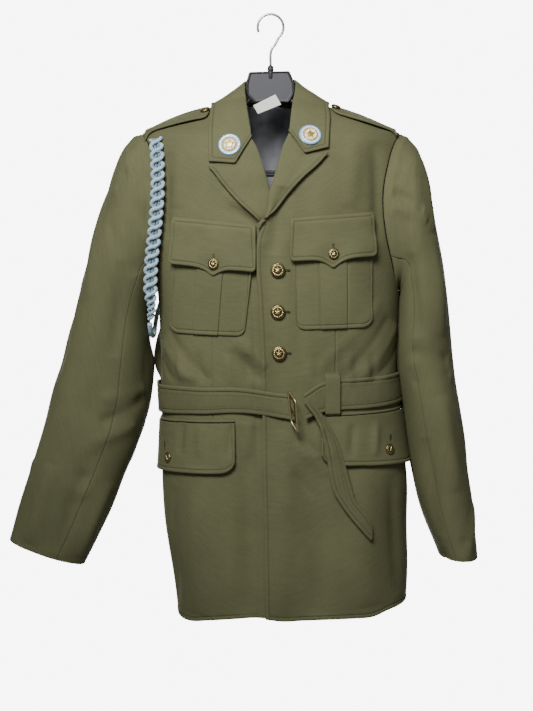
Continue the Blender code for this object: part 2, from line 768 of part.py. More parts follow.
def hip_grid(values, side, tops, share, lift):
    """Grid over the hip, from the front end of the flap round past the side seam."""
    front_x, past, _, _, _, _ = values
    points = []
    for z in tops:
        row = []
        for part, height in zip(share, z):
            start = float(angle_of(front_x, height))
            end = beyond(side * math.pi / 2, height, side * past)
            row.append(between(start, end, height, 61)[round(part * 60)])
        points.append(row)
    angles = np.array(points)
    return layer(angles, tops, lift)


def hip_flap(name, values, side):
    """Lower pocket flap that goes round the side."""
    _, _, top_front, top_side, low_front, low_side = values
    share = np.array([0, 1, 3, 6, 11, 18, 26, 34, 42, 50, 56, 59, 60]) / 60
    width = 150.0
    top = top_front + (top_side - top_front) * share
    low = low_front + (low_side - low_front) * share
    low = low + rounded(np.minimum(share, 1 - share) * width, HIP_CORNER)
    down = np.linspace(0, 1, 6)[:, None]
    z = top + (low - top) * down
    points = hip_grid(values, side, z, share, DOUBLE_CLOTH + 4 * SEAM + 0.8 * down + 0 * z)
    return cloth(name, points, serge(), wall=DOUBLE_CLOTH, flip=side < 0)


def jet(name, values, side):
    """Narrow strip that finishes the pocket mouth above the lower flap."""
    _, _, top_front, top_side, _, _ = values
    share = np.linspace(0, 1, 11)
    low = top_front + (top_side - top_front) * share + JET_GAP
    z = low + JET_HEIGHT * np.array([1, 0])[:, None]
    return cloth(name, hip_grid(values, side, z, share, LAP + 0 * z), serge(),
                 wall=1.5, flip=side < 0)


# ---- belt

BELT_COLUMNS = ("angle", "top z", "low z", "lift")
BELT = (
    (3.4, -551.0, -588.0, 6.4),
    (1.5, -549.0, -586.0, 6.4),
    (-2.5, -546.0, -582.0, 5.0),
    (-8.0, -542.5, -579.0, 4.0),
    (-35.0, -541.0, -580.5, 3.8),
    (-60.0, -541.0, -583.0, 3.9),
    (-80.0, -541.5, -584.5, 4.0),
    (-95.0, -541.5, -585.0, 6.3),
    (-107.0, -541.0, -585.0, 5.6),
    (-140.0, -540.0, -584.0, 4.2),
    (-180.0, -537.0, -581.0, 3.6),
    (-225.0, -531.0, -576.0, 3.6),
    (-270.0, -525.0, -569.0, 3.6),
    (-325.0, -528.0, -573.0, 3.8),
    (-338.0, -529.0, -574.0, 4.0),
    (-346.0, -534.0, -577.0, 6.0),
    (-353.0, -548.0, -586.0, 10.5),
)


def belt(name):
    """Belt round the waist, from the buckle round the back to the buckle again."""
    top, low, lift = (curve(BELT, BELT_COLUMNS, key) for key in BELT_COLUMNS[1:])
    degrees = np.concatenate([np.linspace(3.4, -12, 6), np.linspace(-20, -330, 34),
                              np.linspace(-336, -353, 7)])
    down = np.array([0, 0.5, 1.0])[:, None]
    z = top(degrees) + (low(degrees) - top(degrees)) * down
    angles = np.radians(degrees)[None, :] + 0 * z
    return cloth(name, layer(angles, z, lift(degrees) + 0 * z), serge(), wall=DOUBLE_CLOTH,
                 flip=True)


TAIL_COLUMNS = ("left x", "left z", "left lift", "right x", "right z", "right lift")
TAIL = (
    (46.0, -561.0, 17.0, 52.0, -556.0, 14.0),
    (54.0, -571.0, 16.0, 63.0, -566.0, 10.5),
    (63.0, -585.0, 15.0, 76.0, -583.0, 9.5),
    (72.0, -608.0, 13.0, 92.0, -611.0, 8.0),
    (79.0, -645.0, 11.5, 104.0, -645.0, 7.5),
    (87.0, -685.0, 10.0, 114.0, -683.0, 6.0),
    (100.0, -710.0, 9.0, 121.0, -705.0, 5.0),
    (116.0, -733.0, 7.5, 133.0, -722.0, 4.5),
    (133.0, -755.0, 6.0, 141.0, -737.0, 4.5),
    (139.0, -762.0, 5.0, 142.0, -757.0, 4.5),
)


def belt_tail(name):
    """Loose end of the belt, hanging from the buckle, seen partly edge on."""
    indexed = [(float(i), *row) for i, row in enumerate(TAIL)]
    header = ("row",) + TAIL_COLUMNS
    at = np.linspace(0, len(TAIL) - 1, 19)
    values = [curve(indexed, header, key)(at)[:, None] for key in TAIL_COLUMNS]
    share = np.linspace(0, 1, 4)[None, :]
    x = values[0] + (values[3] - values[0]) * share
    z = values[1] + (values[4] - values[1]) * share
    lift = values[2] + (values[5] - values[2]) * share
    return cloth(name, layer(angle_of(x, z), z, lift), serge(), wall=DOUBLE_CLOTH)


KEEPER_X, KEEPER_TOP, KEEPER_LOW = 77.0, -524.0, -580.0


def belt_keeper(name):
    """Loop of the coat that the belt passes under, sewn down above and below it."""
    x = np.linspace(KEEPER_X, KEEPER_X + KEEPER_WIDTH, 4)[None, :]
    z = np.array([KEEPER_TOP + 5, KEEPER_TOP + 2, KEEPER_TOP, KEEPER_TOP - 8,
                  (KEEPER_TOP + KEEPER_LOW) / 2, KEEPER_LOW + 5, KEEPER_LOW + 1,
                  KEEPER_LOW - 2])[:, None]
    lift = np.array([2.4, 3.0, 6.6, 8.2, 8.2, 8.2, 6.6, 2.4])[:, None]
    return cloth(name, layer(angle_of(x, z + 0 * x), z + 0 * x, lift + 0 * x), serge(), wall=1.8)


BUCKLE_WIRE = 1.5
BUCKLE_CORNERS = (
    # x, z, lift
    (27.0, -547.0, 8.4),
    (39.0, -560.0, 24.0),
    (41.5, -603.0, 21.0),
    (29.5, -590.0, 8.4),
)


def buckle(frame_name, prong_name):
    """Wire frame turned edge on by the pull of the tail, and its prong."""
    corners = [layer(angle_of(x, z), np.float64(z), lift) for x, z, lift in BUCKLE_CORNERS]
    path = []
    for i, corner in enumerate(corners):
        before, after = corners[i - 1], corners[(i + 1) % 4]
        into = (before - corner) / np.linalg.norm(before - corner)
        out = (after - corner) / np.linalg.norm(after - corner)
        path += [corner + into * 4, corner + (into + out) * 0.9, corner + out * 4]
    sweep(frame_name, path, BUCKLE_WIRE, BUCKLE_WIRE, gilt(), sides=8, up=(1, 0, 0), closed=True)
    bar = (corners[0] + corners[3]) / 2
    front = (corners[1] + corners[2]) / 2
    along = (front - bar) / np.linalg.norm(front - bar)
    clear = BUCKLE_WIRE + 3 * SEAM
    sweep(prong_name, [bar + along * clear, (bar + front) / 2, front - along * clear],
          1.1, 1.1, gilt(), sides=8)


# ---- buttons and discs

BUTTON_PROFILE = (
    # share of the radius, share of the diameter up
    (0.86, 0.00),
    (1.00, 0.03),
    (1.00, 0.09),
    (0.86, 0.13),
    (0.80, 0.11),
    (0.50, 0.20),
    (0.12, 0.24),
)
BUTTON_COLUMNS = ("name", "x", "z", "side", "lift", "diameter")
BUTTONS = (
    ("front_button_1", 10.0, -373.0, 1, 0.0, FRONT_BUTTON),
    ("front_button_2", 10.0, -432.0, 1, 0.0, FRONT_BUTTON),
    ("front_button_3", 12.0, -491.0, 1, 0.0, FRONT_BUTTON),
    ("breast_button_right", -79.0, -364.0, -1, 6.8, POCKET_BUTTON),
    ("breast_button_left", 87.0, -350.0, 1, 6.8, POCKET_BUTTON),
    ("hip_button_right", -153.0, -648.0, -1, 3.4, POCKET_BUTTON),
    ("hip_button_left", 174.0, -634.0, 1, 3.8, POCKET_BUTTON),
)
DISC_COLUMNS = ("name", "x", "z", "stand")
DISCS = (("disc_right", -59.0, -195.0, 0.35), ("disc_left", 56.0, -180.0, 0.12))


def buttons():
    """Domed gilt buttons, each facing out of the cloth under it."""
    for name, x, z, side, lift, diameter in BUTTONS:
        base = on_front(np.float64(x), np.float64(z), lift + SEAM + 0.4, side)
        axis = outward(angle_of(x, z), np.float64(z))
        profile = [(share * diameter / 2, up * diameter) for share, up in BUTTON_PROFILE]
        lathe(name, profile, base, axis, gilt())


def collar_seat(x, z):
    """Point of the collar fall in front at (x, z), and its normal."""
    points = collar_grid(120, 60)
    normals = grid_normals(points)
    away = np.hypot(points[..., 0] - x, points[..., 2] - z) + np.where(points[..., 1] > 0, 999, 0)
    nearest = np.unravel_index(np.argmin(away), away.shape)
    return points[nearest], normals[nearest]


def collar_discs():
    """Round collar insignia: a pale ring and a gilt medal in it."""
    for name, x, z, stand in DISCS:
        seat, axis = collar_seat(x, z)
        base = seat + axis * stand
        radius = DISC / 2
        ring = ((radius - 3.3, 0.0), (radius, 0.0), (radius, 1.4), (radius - 3.3, 2.0))
        lathe(name + "_ring", ring, base, axis, enamel(), segments=20, hollow=True)
        medal = ((radius - 3.6, 0.0), (radius - 3.6, 1.8), (radius - 5.0, 2.6), (1.0, 3.0))
        lathe(name + "_medal", medal, base, axis, gilt(), segments=16)


# ---- shoulder straps and cord

# The straps lie forward of the shoulder seam. The middle is at this y on each side.
STRAP_COLUMNS = ("x", "half width", "left middle", "right middle")
STRAP = (
    (88.5, 6.0, -27.0, -42.0),
    (91.0, 13.0, -27.0, -42.0),
    (96.5, 18.0, -27.0, -40.0),
    (108.0, 20.0, -27.0, -37.0),
    (150.0, 22.0, -22.0, -27.0),
    (182.0, 22.0, -15.0, -12.0),
)
STRAP_STAND = DOUBLE_CLOTH + 3 * SEAM
STRAP_BUTTON_X = 94.0


def top_of_coat(x, y, lift=0.0):
    """Point of the shoulder over (x, y)."""
    low, high = np.full(np.shape(x), -300.0), np.full(np.shape(x), -116.5)
    for _ in range(40):
        z = (low + high) / 2
        centre, half, front, back, power = section_at(z)
        depth = np.where(y < 0, front, back)
        outside = (np.abs(x - centre) / half) ** power + (np.abs(y) / depth) ** power > 1
        high = np.where(outside, z, high)
        low = np.where(outside, low, z)
    step = 0.5
    if not np.any(lift):
        return np.stack([x, y, z], axis=-1)
    across = top_of_coat(x + step, y) - top_of_coat(x - step, y)
    along = top_of_coat(x, y + step) - top_of_coat(x, y - step)
    normal = np.cross(across, along)
    normal /= np.linalg.norm(normal, axis=-1, keepdims=True)
    return np.stack([x, y, z], axis=-1) + normal * lift


def strap_middle(side, along):
    """The y of the strap's middle line at this distance from the neck."""
    return curve(STRAP, STRAP_COLUMNS, "left middle" if side > 0 else "right middle")(along)


def shoulder_strap(name, side):
    """Strap along the shoulder seam, from the sleeve to its rounded end by the collar."""
    half_width = curve(STRAP, STRAP_COLUMNS, "half width")
    along = np.array([88.5, 90.0, 93.5, 100.0, 112.0, 129.0, 147.0, 163.0, 176.0, 182.0])
    across = np.linspace(-1, 1, 7)
    x = side * along[None, :] + 0 * across[:, None]
    y = strap_middle(side, along) + across[:, None] * half_width(along)[None, :]
    points = top_of_coat(x, y, STRAP_STAND)
    return cloth(name, points, serge(), wall=DOUBLE_CLOTH, flip=side > 0)


def strap_button(name, side):
    """Small button on the strap, next to the collar."""
    x, y = np.float64(side * STRAP_BUTTON_X), strap_middle(side, STRAP_BUTTON_X)
    base = top_of_coat(x, y, STRAP_STAND + 2 * SEAM)
    axis = base - top_of_coat(x, y)
    profile = [(share * STRAP_BUTTON / 2, up * STRAP_BUTTON) for share, up in BUTTON_PROFILE]
    lathe(name, profile, base, axis, gilt())


BRAID_HALF_WIDTH, BRAID_HALF_THICK, BRAID_KNOTS, KNOT_STEPS = 9.6, 4.6, 18, 3
BRAID_PATH = (
    (-166.0, -63.0, -184.0),
    (-163.0, -73.0, -212.0),
    (-162.5, -79.0, -264.0),
    (-167.0, -79.0, -318.0),
    (-172.0, -76.0, -360.0),
    (-174.0, -74.0, -402.0),
    (-173.0, -70.0, -429.0),
    (-175.5, -63.0, -446.0),
)
CORD_RADIUS = 3.6
CORD_UNDER_ARM = (
    (-176.0, -62.0, -452.0),
    (-175.5, -48.0, -466.0),
    (-174.5, -20.0, -472.0),
    (-174.5, 8.0, -468.0),
    (-174.5, 34.0, -455.0),
    (-172.0, 60.0, -436.0),
)
CORD_UP_BACK = (
    # x, z
    (-156.0, -405.0),
    (-148.0, -350.0),
    (-144.0, -290.0),
    (-145.0, -235.0),
    (-148.0, -200.0),
    (-151.0, -180.0),
)
CORD_AT_STRAP = ((-153.0, 43.0), (-154.0, 26.5))  # x, y on top of the shoulder


def shoulder_braid(name):
    """Knotted braid that hangs over the front of the right shoulder."""
    count = BRAID_KNOTS * KNOT_STEPS + 1
    path = through(BRAID_PATH, count)
    knot = np.cos(np.arange(count) / KNOT_STEPS * 2 * math.pi)
    taper = np.concatenate([np.ones(count - 5), [0.92, 0.8, 0.68, 0.56, 0.48]])
    sweep(name, path, (BRAID_HALF_WIDTH - 0.9 * knot) * taper,
          (BRAID_HALF_THICK - 0.8 * knot) * taper, braid_blue(), sides=8, up=(0, 1, 0))


def shoulder_cord(name):
    """Thin end of the braid, under the arm and up the back to the strap."""
    lift = CORD_RADIUS + 2 * CHORD + SEAM
    path = [np.array(point) for point in CORD_UNDER_ARM]
    path += [layer(angle_of(x, z, back=True), np.float64(z), lift) for x, z in CORD_UP_BACK]
    path += [top_of_coat(np.float64(x), np.float64(y), lift) for x, y in CORD_AT_STRAP]
    sweep(name, through(path, 40), CORD_RADIUS, CORD_RADIUS, braid_blue(), sides=7, up=(1, 0, 0))


# ---- lining, label and hanger

LINING_HEIGHTS = (-131.0, -145.0, -170.0, -205.0, -260.0, -340.0, -425.0, -563.0, -700.0, -845.0)
LINING_REACH, LINING_EASE, LINING_COLUMNS = 1.3, 7.4, 11


def back_lining(name):
    """Satin inside the back, which shows through the neck."""
    rows = []
    for z in LINING_HEIGHTS:
        reach = LINING_REACH * (1.0 if z < -200 else 0.8)
        angles = np.linspace(math.pi + reach, math.pi - reach, LINING_COLUMNS)
        rows.append(layer(angles, z + 0 * angles, 0 * angles - CLOTH - LINING_EASE))
    return cloth(name, np.array(rows), satin(), wall=0.8, flip=True)


LABEL = ((-25.8, -4.5, -131.9), (7.2, -4.5, -115.6), (15.9, -4.5, -130.6), (-18.6, -4.5, -144.4))


def neck_label(name):
    """Blank woven label that hangs over the front of the hanger plate."""
    first, second, third, fourth = (np.array(corner) for corner in LABEL)
    share = np.linspace(0, 1, 4)[:, None]
    rows = [first + (second - first) * share, fourth + (third - fourth) * share]
    return cloth(name, np.array(rows), white_tape(), wall=0.7)


PLATE = ((-32.0, -82.5), (28.0, -81.0), (35.5, -98.0), (35.8, -113.0), (28.0, -127.0),
         (-25.0, -127.0), (-36.6, -115.0), (-36.6, -99.0))
PLATE_THICK, PLATE_RIM = 7.0, 3.0
HOOK_WIRE, HOOK_RADIUS = 1.9, 19.0
ARM_START = {1: (31.4, -124.2), -1: (-31.4, -123.4)}  # x, z at the plate
BAR_TALL, BAR_THICK, BAR_Z, BAR_HALF = 4.8, 3.0, -232.0, 150.0


def hanger_plate(name):
    """Middle of the hanger, with a raised rim on each face."""
    builder = bmesh.new()
    verts = [builder.verts.new((x, -PLATE_THICK / 2, z)) for x, z in PLATE]
    face = builder.faces.new(verts)
    swept = bmesh.ops.extrude_face_region(builder, geom=[face])["geom"]
    moved = [item for item in swept if isinstance(item, bmesh.types.BMVert)]
    bmesh.ops.translate(builder, vec=(0, PLATE_THICK, 0), verts=moved)
    bmesh.ops.recalc_face_normals(builder, faces=builder.faces)
    broad = [item for item in builder.faces if abs(item.normal.y) > 0.9]
    bmesh.ops.inset_individual(builder, faces=broad, thickness=PLATE_RIM, depth=-1.5)
    return add_object(name, builder, black_plastic())


def hanger_arm(name, side):
    """Arm that carries one shoulder, broad at its end."""
    along = np.array([44.0, 57.0, 80.0, 110.0, 140.0, 165.0, 180.0, 185.0])
    rise = np.array([top_of_coat(np.float64(side * x), np.float64(0.0))[2] for x in along])
    z = rise - np.array([19.0, 12.0, 10.0, 9.6, 9.6, 9.8, 10.0, 10.5])
    path = np.stack([side * along, 0 * along, z], axis=-1)
    start_x, start_z = ARM_START[side]
    path = np.vstack([[start_x, 0.0, start_z], path])
    widths = np.array([3.0, 4.0, 5.0, 7.0, 9.0, 12.0, 14.0, 12.0, 7.0])
    heights = np.array([3.0, 5.0, 6.0, 6.0, 6.0, 6.0, 6.0, 5.5, 3.5])
    return sweep(name, path, widths, heights, black_plastic(), sides=12)


def trouser_bar(name):
    """Bar across the hanger, with its ends turned up to the arms."""
    riser = [(BAR_HALF + 20, 0, -183.5), (BAR_HALF + 18, 0, -202.0), (BAR_HALF + 10, 0, -223.0),
             (BAR_HALF, 0, BAR_Z)]
    path = [(-x, y, z) for x, y, z in riser] + [(x, y, z) for x, y, z in riser[::-1]]
    return sweep(name, path, BAR_TALL, BAR_THICK, black_plastic(), sides=10, up=(0, 1, 0))


def hanger_hook(name):
    """Steel hook, whose inside bears on the rail at the origin."""
    centre_z = -(HOOK_RADIUS - HOOK_WIRE)
    turns = np.radians(np.linspace(200, -60, 17))
    arc = [(HOOK_RADIUS * math.cos(t), 0.0, centre_z + HOOK_RADIUS * math.sin(t)) for t in turns]
    foot = [(7.0, 0.0, -42.0), (2.0, 0.0, -49.0), (0.0, 0.0, -57.0), (0.0, 0.0, SOCKET_TOP + 0.3)]
    return sweep(name, arc[:-1] + foot, HOOK_WIRE, HOOK_WIRE, steel(), sides=8, up=(0, 1, 0))


SOCKET_TOP, SOCKET_LOW, SOCKET_RADIUS = -73.0, -81.2, 4.5


def hook_socket(name):
    """Light grey collar that the hook turns in."""
    profile = ((SOCKET_RADIUS, 0.0), (SOCKET_RADIUS, 6.5), (SOCKET_RADIUS - 1, 9.0), (1.5, 9.2))
    scaled = [(radius, height * (SOCKET_TOP - SOCKET_LOW) / 9.2) for radius, height in profile]
    return lathe(name, scaled, (0.0, 0.0, SOCKET_LOW), (0.0, 0.0, 1.0), grey_plastic(), segments=12)


def clear_scene():
    for old in list(bpy.data.objects):
        bpy.data.objects.remove(old, do_unlink=True)


def main():
    clear_scene()
    front_panel("front_left", 1)
    front_panel("front_right", -1)
    back_panel("back_left", 1)
    back_panel("back_right", -1)
    for word, side in (("left", 1), ("right", -1)):
        sleeve_half("sleeve_" + word + "_top", side, True)
        sleeve_half("sleeve_" + word + "_under", side, False)
        lapel("lapel_" + word, side)
        shoulder_strap("shoulder_strap_" + word, side)
        strap_button("strap_button_" + word, side)
        hanger_arm("hanger_arm_" + word, side)
    collar_fall("collar_fall")
    collar_stand("collar_stand")
    breast_patch("breast_pocket_right", RIGHT_PATCH, -1)
    breast_patch("breast_pocket_left", LEFT_PATCH, 1)
    breast_flap("breast_flap_right", RIGHT_FLAP, -1)
    breast_flap("breast_flap_left", LEFT_FLAP, 1)
    hip_flap("hip_flap_right", RIGHT_HIP, -1)
    hip_flap("hip_flap_left", LEFT_HIP, 1)
    jet("jet_right", RIGHT_HIP, -1)
    jet("jet_left", LEFT_JET, 1)
    belt("belt")
    belt_tail("belt_tail")
    belt_keeper("belt_keeper")
    buckle("buckle_frame", "buckle_prong")
    buttons()
    collar_discs()
    shoulder_braid("shoulder_braid")
    shoulder_cord("shoulder_cord")
    back_lining("back_lining")
    neck_label("neck_label")
    hanger_plate("hanger_plate")
    trouser_bar("trouser_bar")
    hanger_hook("hanger_hook")
    hook_socket("hook_socket")


if __name__ == "__main__":
    main()
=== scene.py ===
"""Looks of a belted dress tunic on its hanger: cloth, sewing, gilt buttons, braid and plastic.

The front faces -Y, the wearer's left is +X and +Z is up. Tables are in millimetres, and
meshes are turned to metres when they are made.
"""

import math

import bmesh
import bpy
import numpy as np
from bpy.props import FloatProperty, FloatVectorProperty, IntProperty, PointerProperty
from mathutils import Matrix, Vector


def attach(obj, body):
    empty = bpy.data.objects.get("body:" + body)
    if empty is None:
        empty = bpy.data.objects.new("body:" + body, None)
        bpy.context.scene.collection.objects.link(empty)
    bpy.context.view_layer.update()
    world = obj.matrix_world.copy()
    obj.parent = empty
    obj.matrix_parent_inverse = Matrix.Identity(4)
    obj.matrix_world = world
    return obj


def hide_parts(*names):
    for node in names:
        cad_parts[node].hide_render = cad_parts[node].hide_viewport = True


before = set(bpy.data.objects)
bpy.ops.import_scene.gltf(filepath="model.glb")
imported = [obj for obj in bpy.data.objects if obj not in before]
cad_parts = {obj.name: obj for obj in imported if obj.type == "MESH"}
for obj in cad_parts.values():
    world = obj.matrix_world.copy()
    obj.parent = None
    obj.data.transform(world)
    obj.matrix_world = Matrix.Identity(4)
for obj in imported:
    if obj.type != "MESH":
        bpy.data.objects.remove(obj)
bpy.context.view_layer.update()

bl_info = {"name": "Belted dress tunic", "version": (1, 0, 0), "blender": (4, 5, 0),
    "location": "3D View > Sidebar > Tunic",
    "description": "Makes the cloth, sewing, buttons, braid and hanger of a dress tunic",
    "category": "Object"}

MM = 0.001
CLOTH = 2.0  # serge, interlining and lining as one wall
DOUBLE_CLOTH = 2.6  # flaps, straps and the belt
SEAM = 0.3
LAP = CLOTH + SEAM
FRONT_BUTTON, POCKET_BUTTON, STRAP_BUTTON = 21.0, 15.9, 14.5
DISC = 31.8
KEEPER_WIDTH = 21.0


def smooth(x, y, at):
    """Smooth curve through rows y, which stand at x. The rows may be points or grids."""
    x, y, at = np.asarray(x, float), np.asarray(y, float), np.asarray(at, float)
    at = np.clip(at, x[0], x[-1])
    slopes = np.gradient(y, x, axis=0)
    i = np.clip(np.searchsorted(x, at) - 1, 0, len(x) - 2)
    shape = at.shape + (1,) * (y.ndim - 1)
    step = (x[i + 1] - x[i]).reshape(shape)
    t = ((at - x[i])).reshape(shape) / step
    ease = t * t * (3 - 2 * t)
    return (y[i] * (1 - ease) + y[i + 1] * ease + slopes[i] * step * t * (1 - t) ** 2 - slopes[i + 1]
        * step * t * t * (1 - t))


def curve(table, columns, name):
    """A smooth function of the first column through one named column of a table."""
    rows = np.array(sorted(table), float)
    x, y = rows[:, 0], rows[:, columns.index(name)]
    return lambda at: smooth(x, y, at)


def through(points, count):
    """Smooth path of count points through the given ones, evenly spaced along it."""
    points = np.asarray(points, float)
    dense = smooth(np.arange(len(points)), points, np.linspace(0, len(points) - 1, 1200))
    along = travelled(dense)
    return read_at(np.linspace(0, along[-1], count), along, dense)


def travelled(path):
    """Distance of each point of a path from its start."""
    return np.concatenate([[0], np.cumsum(np.linalg.norm(np.diff(path, axis=0), axis=1))])


def read_at(at, along, points):
    """Points read off a path at one or more distances from its start."""
    return np.stack([np.interp(at, along, points[:, k]) for k in range(3)], axis=-1)


def unit(vector):
    """The vector at length 1."""
    return vector / np.linalg.norm(vector)


def path_length(points):
    """Length of a line of points, in metres."""
    return float(np.linalg.norm(np.diff(points, axis=0), axis=1).sum()) * MM


# Body sections, from the neck to the hem. The edges are where the side outline is.
BODY_COLUMNS = ("z", "left", "right", "front", "back", "power")
BODY = (
    (-116, -40, 40, 28, 50, 2.00), (-120.5, -50, 50, 34, 58, 2.00), (-129.5, -75, 75, 48, 70, 2.00),
    (-139, -100, 100, 60, 78, 2.00), (-148.5, -125, 125, 69, 84, 2.05), (-158, -150, 150, 77, 89, 2.10),
    (-167, -174, 175, 84, 93, 2.10), (-173.5, -190, 192, 89, 95, 2.15), (-182, -194, 196, 94, 98, 2.20),
    (-200, -193, 197, 101, 104, 2.25), (-230, -191, 197, 109, 109, 2.30),
    (-270, -187, 196, 115, 113, 2.35), (-320, -181, 194.5, 119, 115, 2.40),
    (-370, -174, 194, 121, 116, 2.45), (-405, -168, 192, 121, 115, 2.50),
    (-480, -164, 189.5, 118, 111, 2.50), (-525, -163.5, 189, 115, 109, 2.50),
    (-565, -163, 192.5, 113, 107, 2.50), (-620, -163, 198.5, 116, 110, 2.50),
    (-690, -162, 206, 120, 114, 2.50), (-750, -159, 205.5, 122, 117, 2.50),
    (-825, -147, 205.5, 124, 120, 2.50), (-910, -139, 203.5, 125, 121, 2.50),
)

# How far the back blouses out behind the arms, above the belt and over the left hip
BLOUSE_COLUMNS = ("z", "left", "right")
BLOUSE = (
    (-395, 0, 0), (-425, 0, 3), (-445, 4, 6.5), (-484, 22, 9), (-524, 24, 8), (-543, 13, 8),
    (-563, 3, 8.5), (-603, 1, 11.5), (-643, 0, 11.5), (-682, 0, 6), (-722, 0, 1), (-760, 0, 0),
)

# Armhole seams as seen from the front, from the shoulder tip to the armpit
ARMHOLE_COLUMNS = ("z", "left", "right")
ARMHOLE = (
    (-173.5, -190, 192), (-182, -183, 185), (-197, -175, 177), (-220, -166, 170), (-261, -158, 163),
    (-290, -158, 163), (-327, -161, 168), (-365, -165, 178), (-405, -168, 187),
)


SECTION = {name: curve(BODY, BODY_COLUMNS, name) for name in BODY_COLUMNS[1:]}
BLOUSING = {name: curve(BLOUSE, BLOUSE_COLUMNS, name) for name in BLOUSE_COLUMNS[1:]}
ARM_SEAM = {name: curve(ARMHOLE, ARMHOLE_COLUMNS, name) for name in ARMHOLE_COLUMNS[1:]}
SHOULDER_Z, ARMPIT_Z, NECK_Z = -173.5, -405.0, -121.0


def section_at(z):
    """Centre, half width, front depth, back depth and power of the section at height z."""
    left, right, front, back, power = (SECTION[name](z) for name in BODY_COLUMNS[1:])
    return (left + right) / 2, (right - left) / 2, front, back, power


def skin(angle, z):
    """Point of the coat at an angle about its length: 0 is the front, 90 degrees +X."""
    centre, half, front, back, power = section_at(z)
    sine, cosine = np.sin(angle), np.cos(angle)
    x = centre + half * np.sign(sine) * np.abs(sine) ** (2 / power)
    depth = np.where(cosine > 0, front, back)
    share = np.abs(cosine) ** (2 / power)
    fullness = np.where(cosine < 0, 27.0 * share**2.6 * (1 - share) ** 2.2, 0)
    swell = np.where(sine < 0, -BLOUSING["left"](z), BLOUSING["right"](z))
    return np.stack([x + fullness * swell, -depth * np.sign(cosine) * share, z + 0 * x], axis=-1)


def outward(angle, z):
    """Unit normal of the coat, pointing out of it."""
    across = skin(angle + 0.004, z) - skin(angle - 0.004, z)
    down = skin(angle, z - 0.5) - skin(angle, z + 0.5)
    normal = np.cross(down, across)
    return normal / np.linalg.norm(normal, axis=-1, keepdims=True)


def angle_of(x, z, back=False):
    """Angle at which the front, or the back, of the coat passes through x."""
    centre, half, _, _, power = section_at(z)
    share = np.clip((x - centre) / half, -1, 1)
    angle = np.arcsin(np.sign(share) * np.abs(share) ** (power / 2))
    return np.where(back, math.pi - angle, angle)


def eased(low, high, value):
    """0 below low, 1 above high, smooth between."""
    t = np.clip((np.asarray(value, float) - low) / (high - low), 0, 1)
    return t * t * (3 - 2 * t)


# Soft creases, each a trough or a ridge between two points of the coat's front or back.
# They meet at the belt, where it gathers the cloth, and hang down in the skirt.
# Columns: face (-1 is the front), x, z, end x, end z, width, rise
COAT_FOLDS = (
    (-1, -66, -262, -12, -302, 9, 2.2), (-1, -58, -282, -14, -314, 7, -1.5),
    (-1, 17, -256, 3, -350, 12, -3.4), (-1, -148, -205, -152, -330, 13, -3),
    (-1, -128, -190, -134, -285, 13, 1.6), (-1, 150, -188, 153, -330, 12, -2.8),
    (-1, 122, -185, 112, -285, 14, 1.8), (-1, -12, -535, -58, -488, 8, -2.4),
    (-1, -6, -512, -50, -470, 8, 1.8), (-1, -158, -478, -108, -538, 8, 2.6),
    (-1, -150, -458, -86, -536, 7, -2.2), (-1, -160, -505, -136, -540, 6, -1.8),
    (-1, 184, -452, 128, -532, 8, 2.8), (-1, 172, -440, 104, -530, 7, -2.4),
    (-1, 187, -482, 150, -532, 6, -2.2), (-1, 158, -420, 60, -520, 9, 1.6),
    (-1, 28, -330, 46, -520, 11, -1.6), (-1, -22, -345, -26, -500, 10, 1.2),
    (-1, -32, -596, -30, -868, 20, -4.5), (-1, -98, -655, -108, -875, 26, 4),
    (-1, 64, -640, 74, -868, 24, -3.6), (-1, 128, -655, 142, -860, 26, 3.4),
    (-1, 22, -600, 16, -868, 16, 2.6), (-1, 176, -670, 186, -850, 14, -2.4),
    (-1, -140, -690, -138, -870, 12, -2.2), (-1, 68, -640, 30, -598, 7, -1.8),
    (-1, 82, -668, 36, -618, 8, 1.5), (-1, 62, -700, 30, -660, 7, -1.2),
    (1, -62, -235, -72, -520, 18, -3.2), (1, 72, -230, 60, -522, 20, 2.8),
    (1, -124, -290, -92, -532, 12, 2.4), (1, 126, -290, 100, -532, 12, -2.4),
    (1, -96, -178, 96, -186, 14, -1.6), (1, -84, -600, -92, -872, 22, 4.2),
    (1, -24, -596, -16, -872, 16, -3.4), (1, 42, -598, 52, -872, 20, 3.2),
    (1, 112, -600, 122, -868, 20, -3.8), (1, 160, -620, 168, -860, 16, 2.4),
    (1, -132, -610, -128, -870, 12, -2.2),
)
# Short gathers right above and below the belt, by x, with their rise
GATHERS_FRONT = ((-132, 1.8), (-104, -1.6), (-62, 1.5), (-36, -1.4), (64, -1.4), (112, 1.7), (146, -1.8))
GATHERS_BACK = (
    (-134, -1.9), (-98, 2.1), (-58, -1.8), (-18, 1.9), (26, -1.9), (68, 2.0), (104, -1.9), (142, 1.8),
)


def fold_lines():
    """Start, end, width and rise of each crease, as points of the coat."""
    rows = list(COAT_FOLDS)
    for face, gathers in ((-1, GATHERS_FRONT), (1, GATHERS_BACK)):
        for x, rise in gathers:
            rows.append((face, x, -492, x + 4, -540, 6, rise))
            rows.append((face, x + 6, -590, x + 2, -642, 6, -rise))
    lines = []
    for face, x, z, end_x, end_z, width, rise in rows:
        ends = [skin(angle_of(a, b, face > 0), np.float64(b)) for a, b in ((x, z), (end_x, end_z))]
        lines.append((ends[0], ends[1], width, rise))
    return lines


def creased(points, lines):
    """Height of the soft troughs and ridges at each point."""
    height = np.zeros(points.shape[:-1])
    for start, end, width, rise in lines:
        line = end - start
        share = np.clip((points - start) @ line / (line @ line), 0, 1)
        away = np.linalg.norm(points - start - share[..., None] * line, axis=-1)
        height += rise * (4 * share * (1 - share)) ** 0.6 * np.exp(-((away / width) ** 2))
    return height


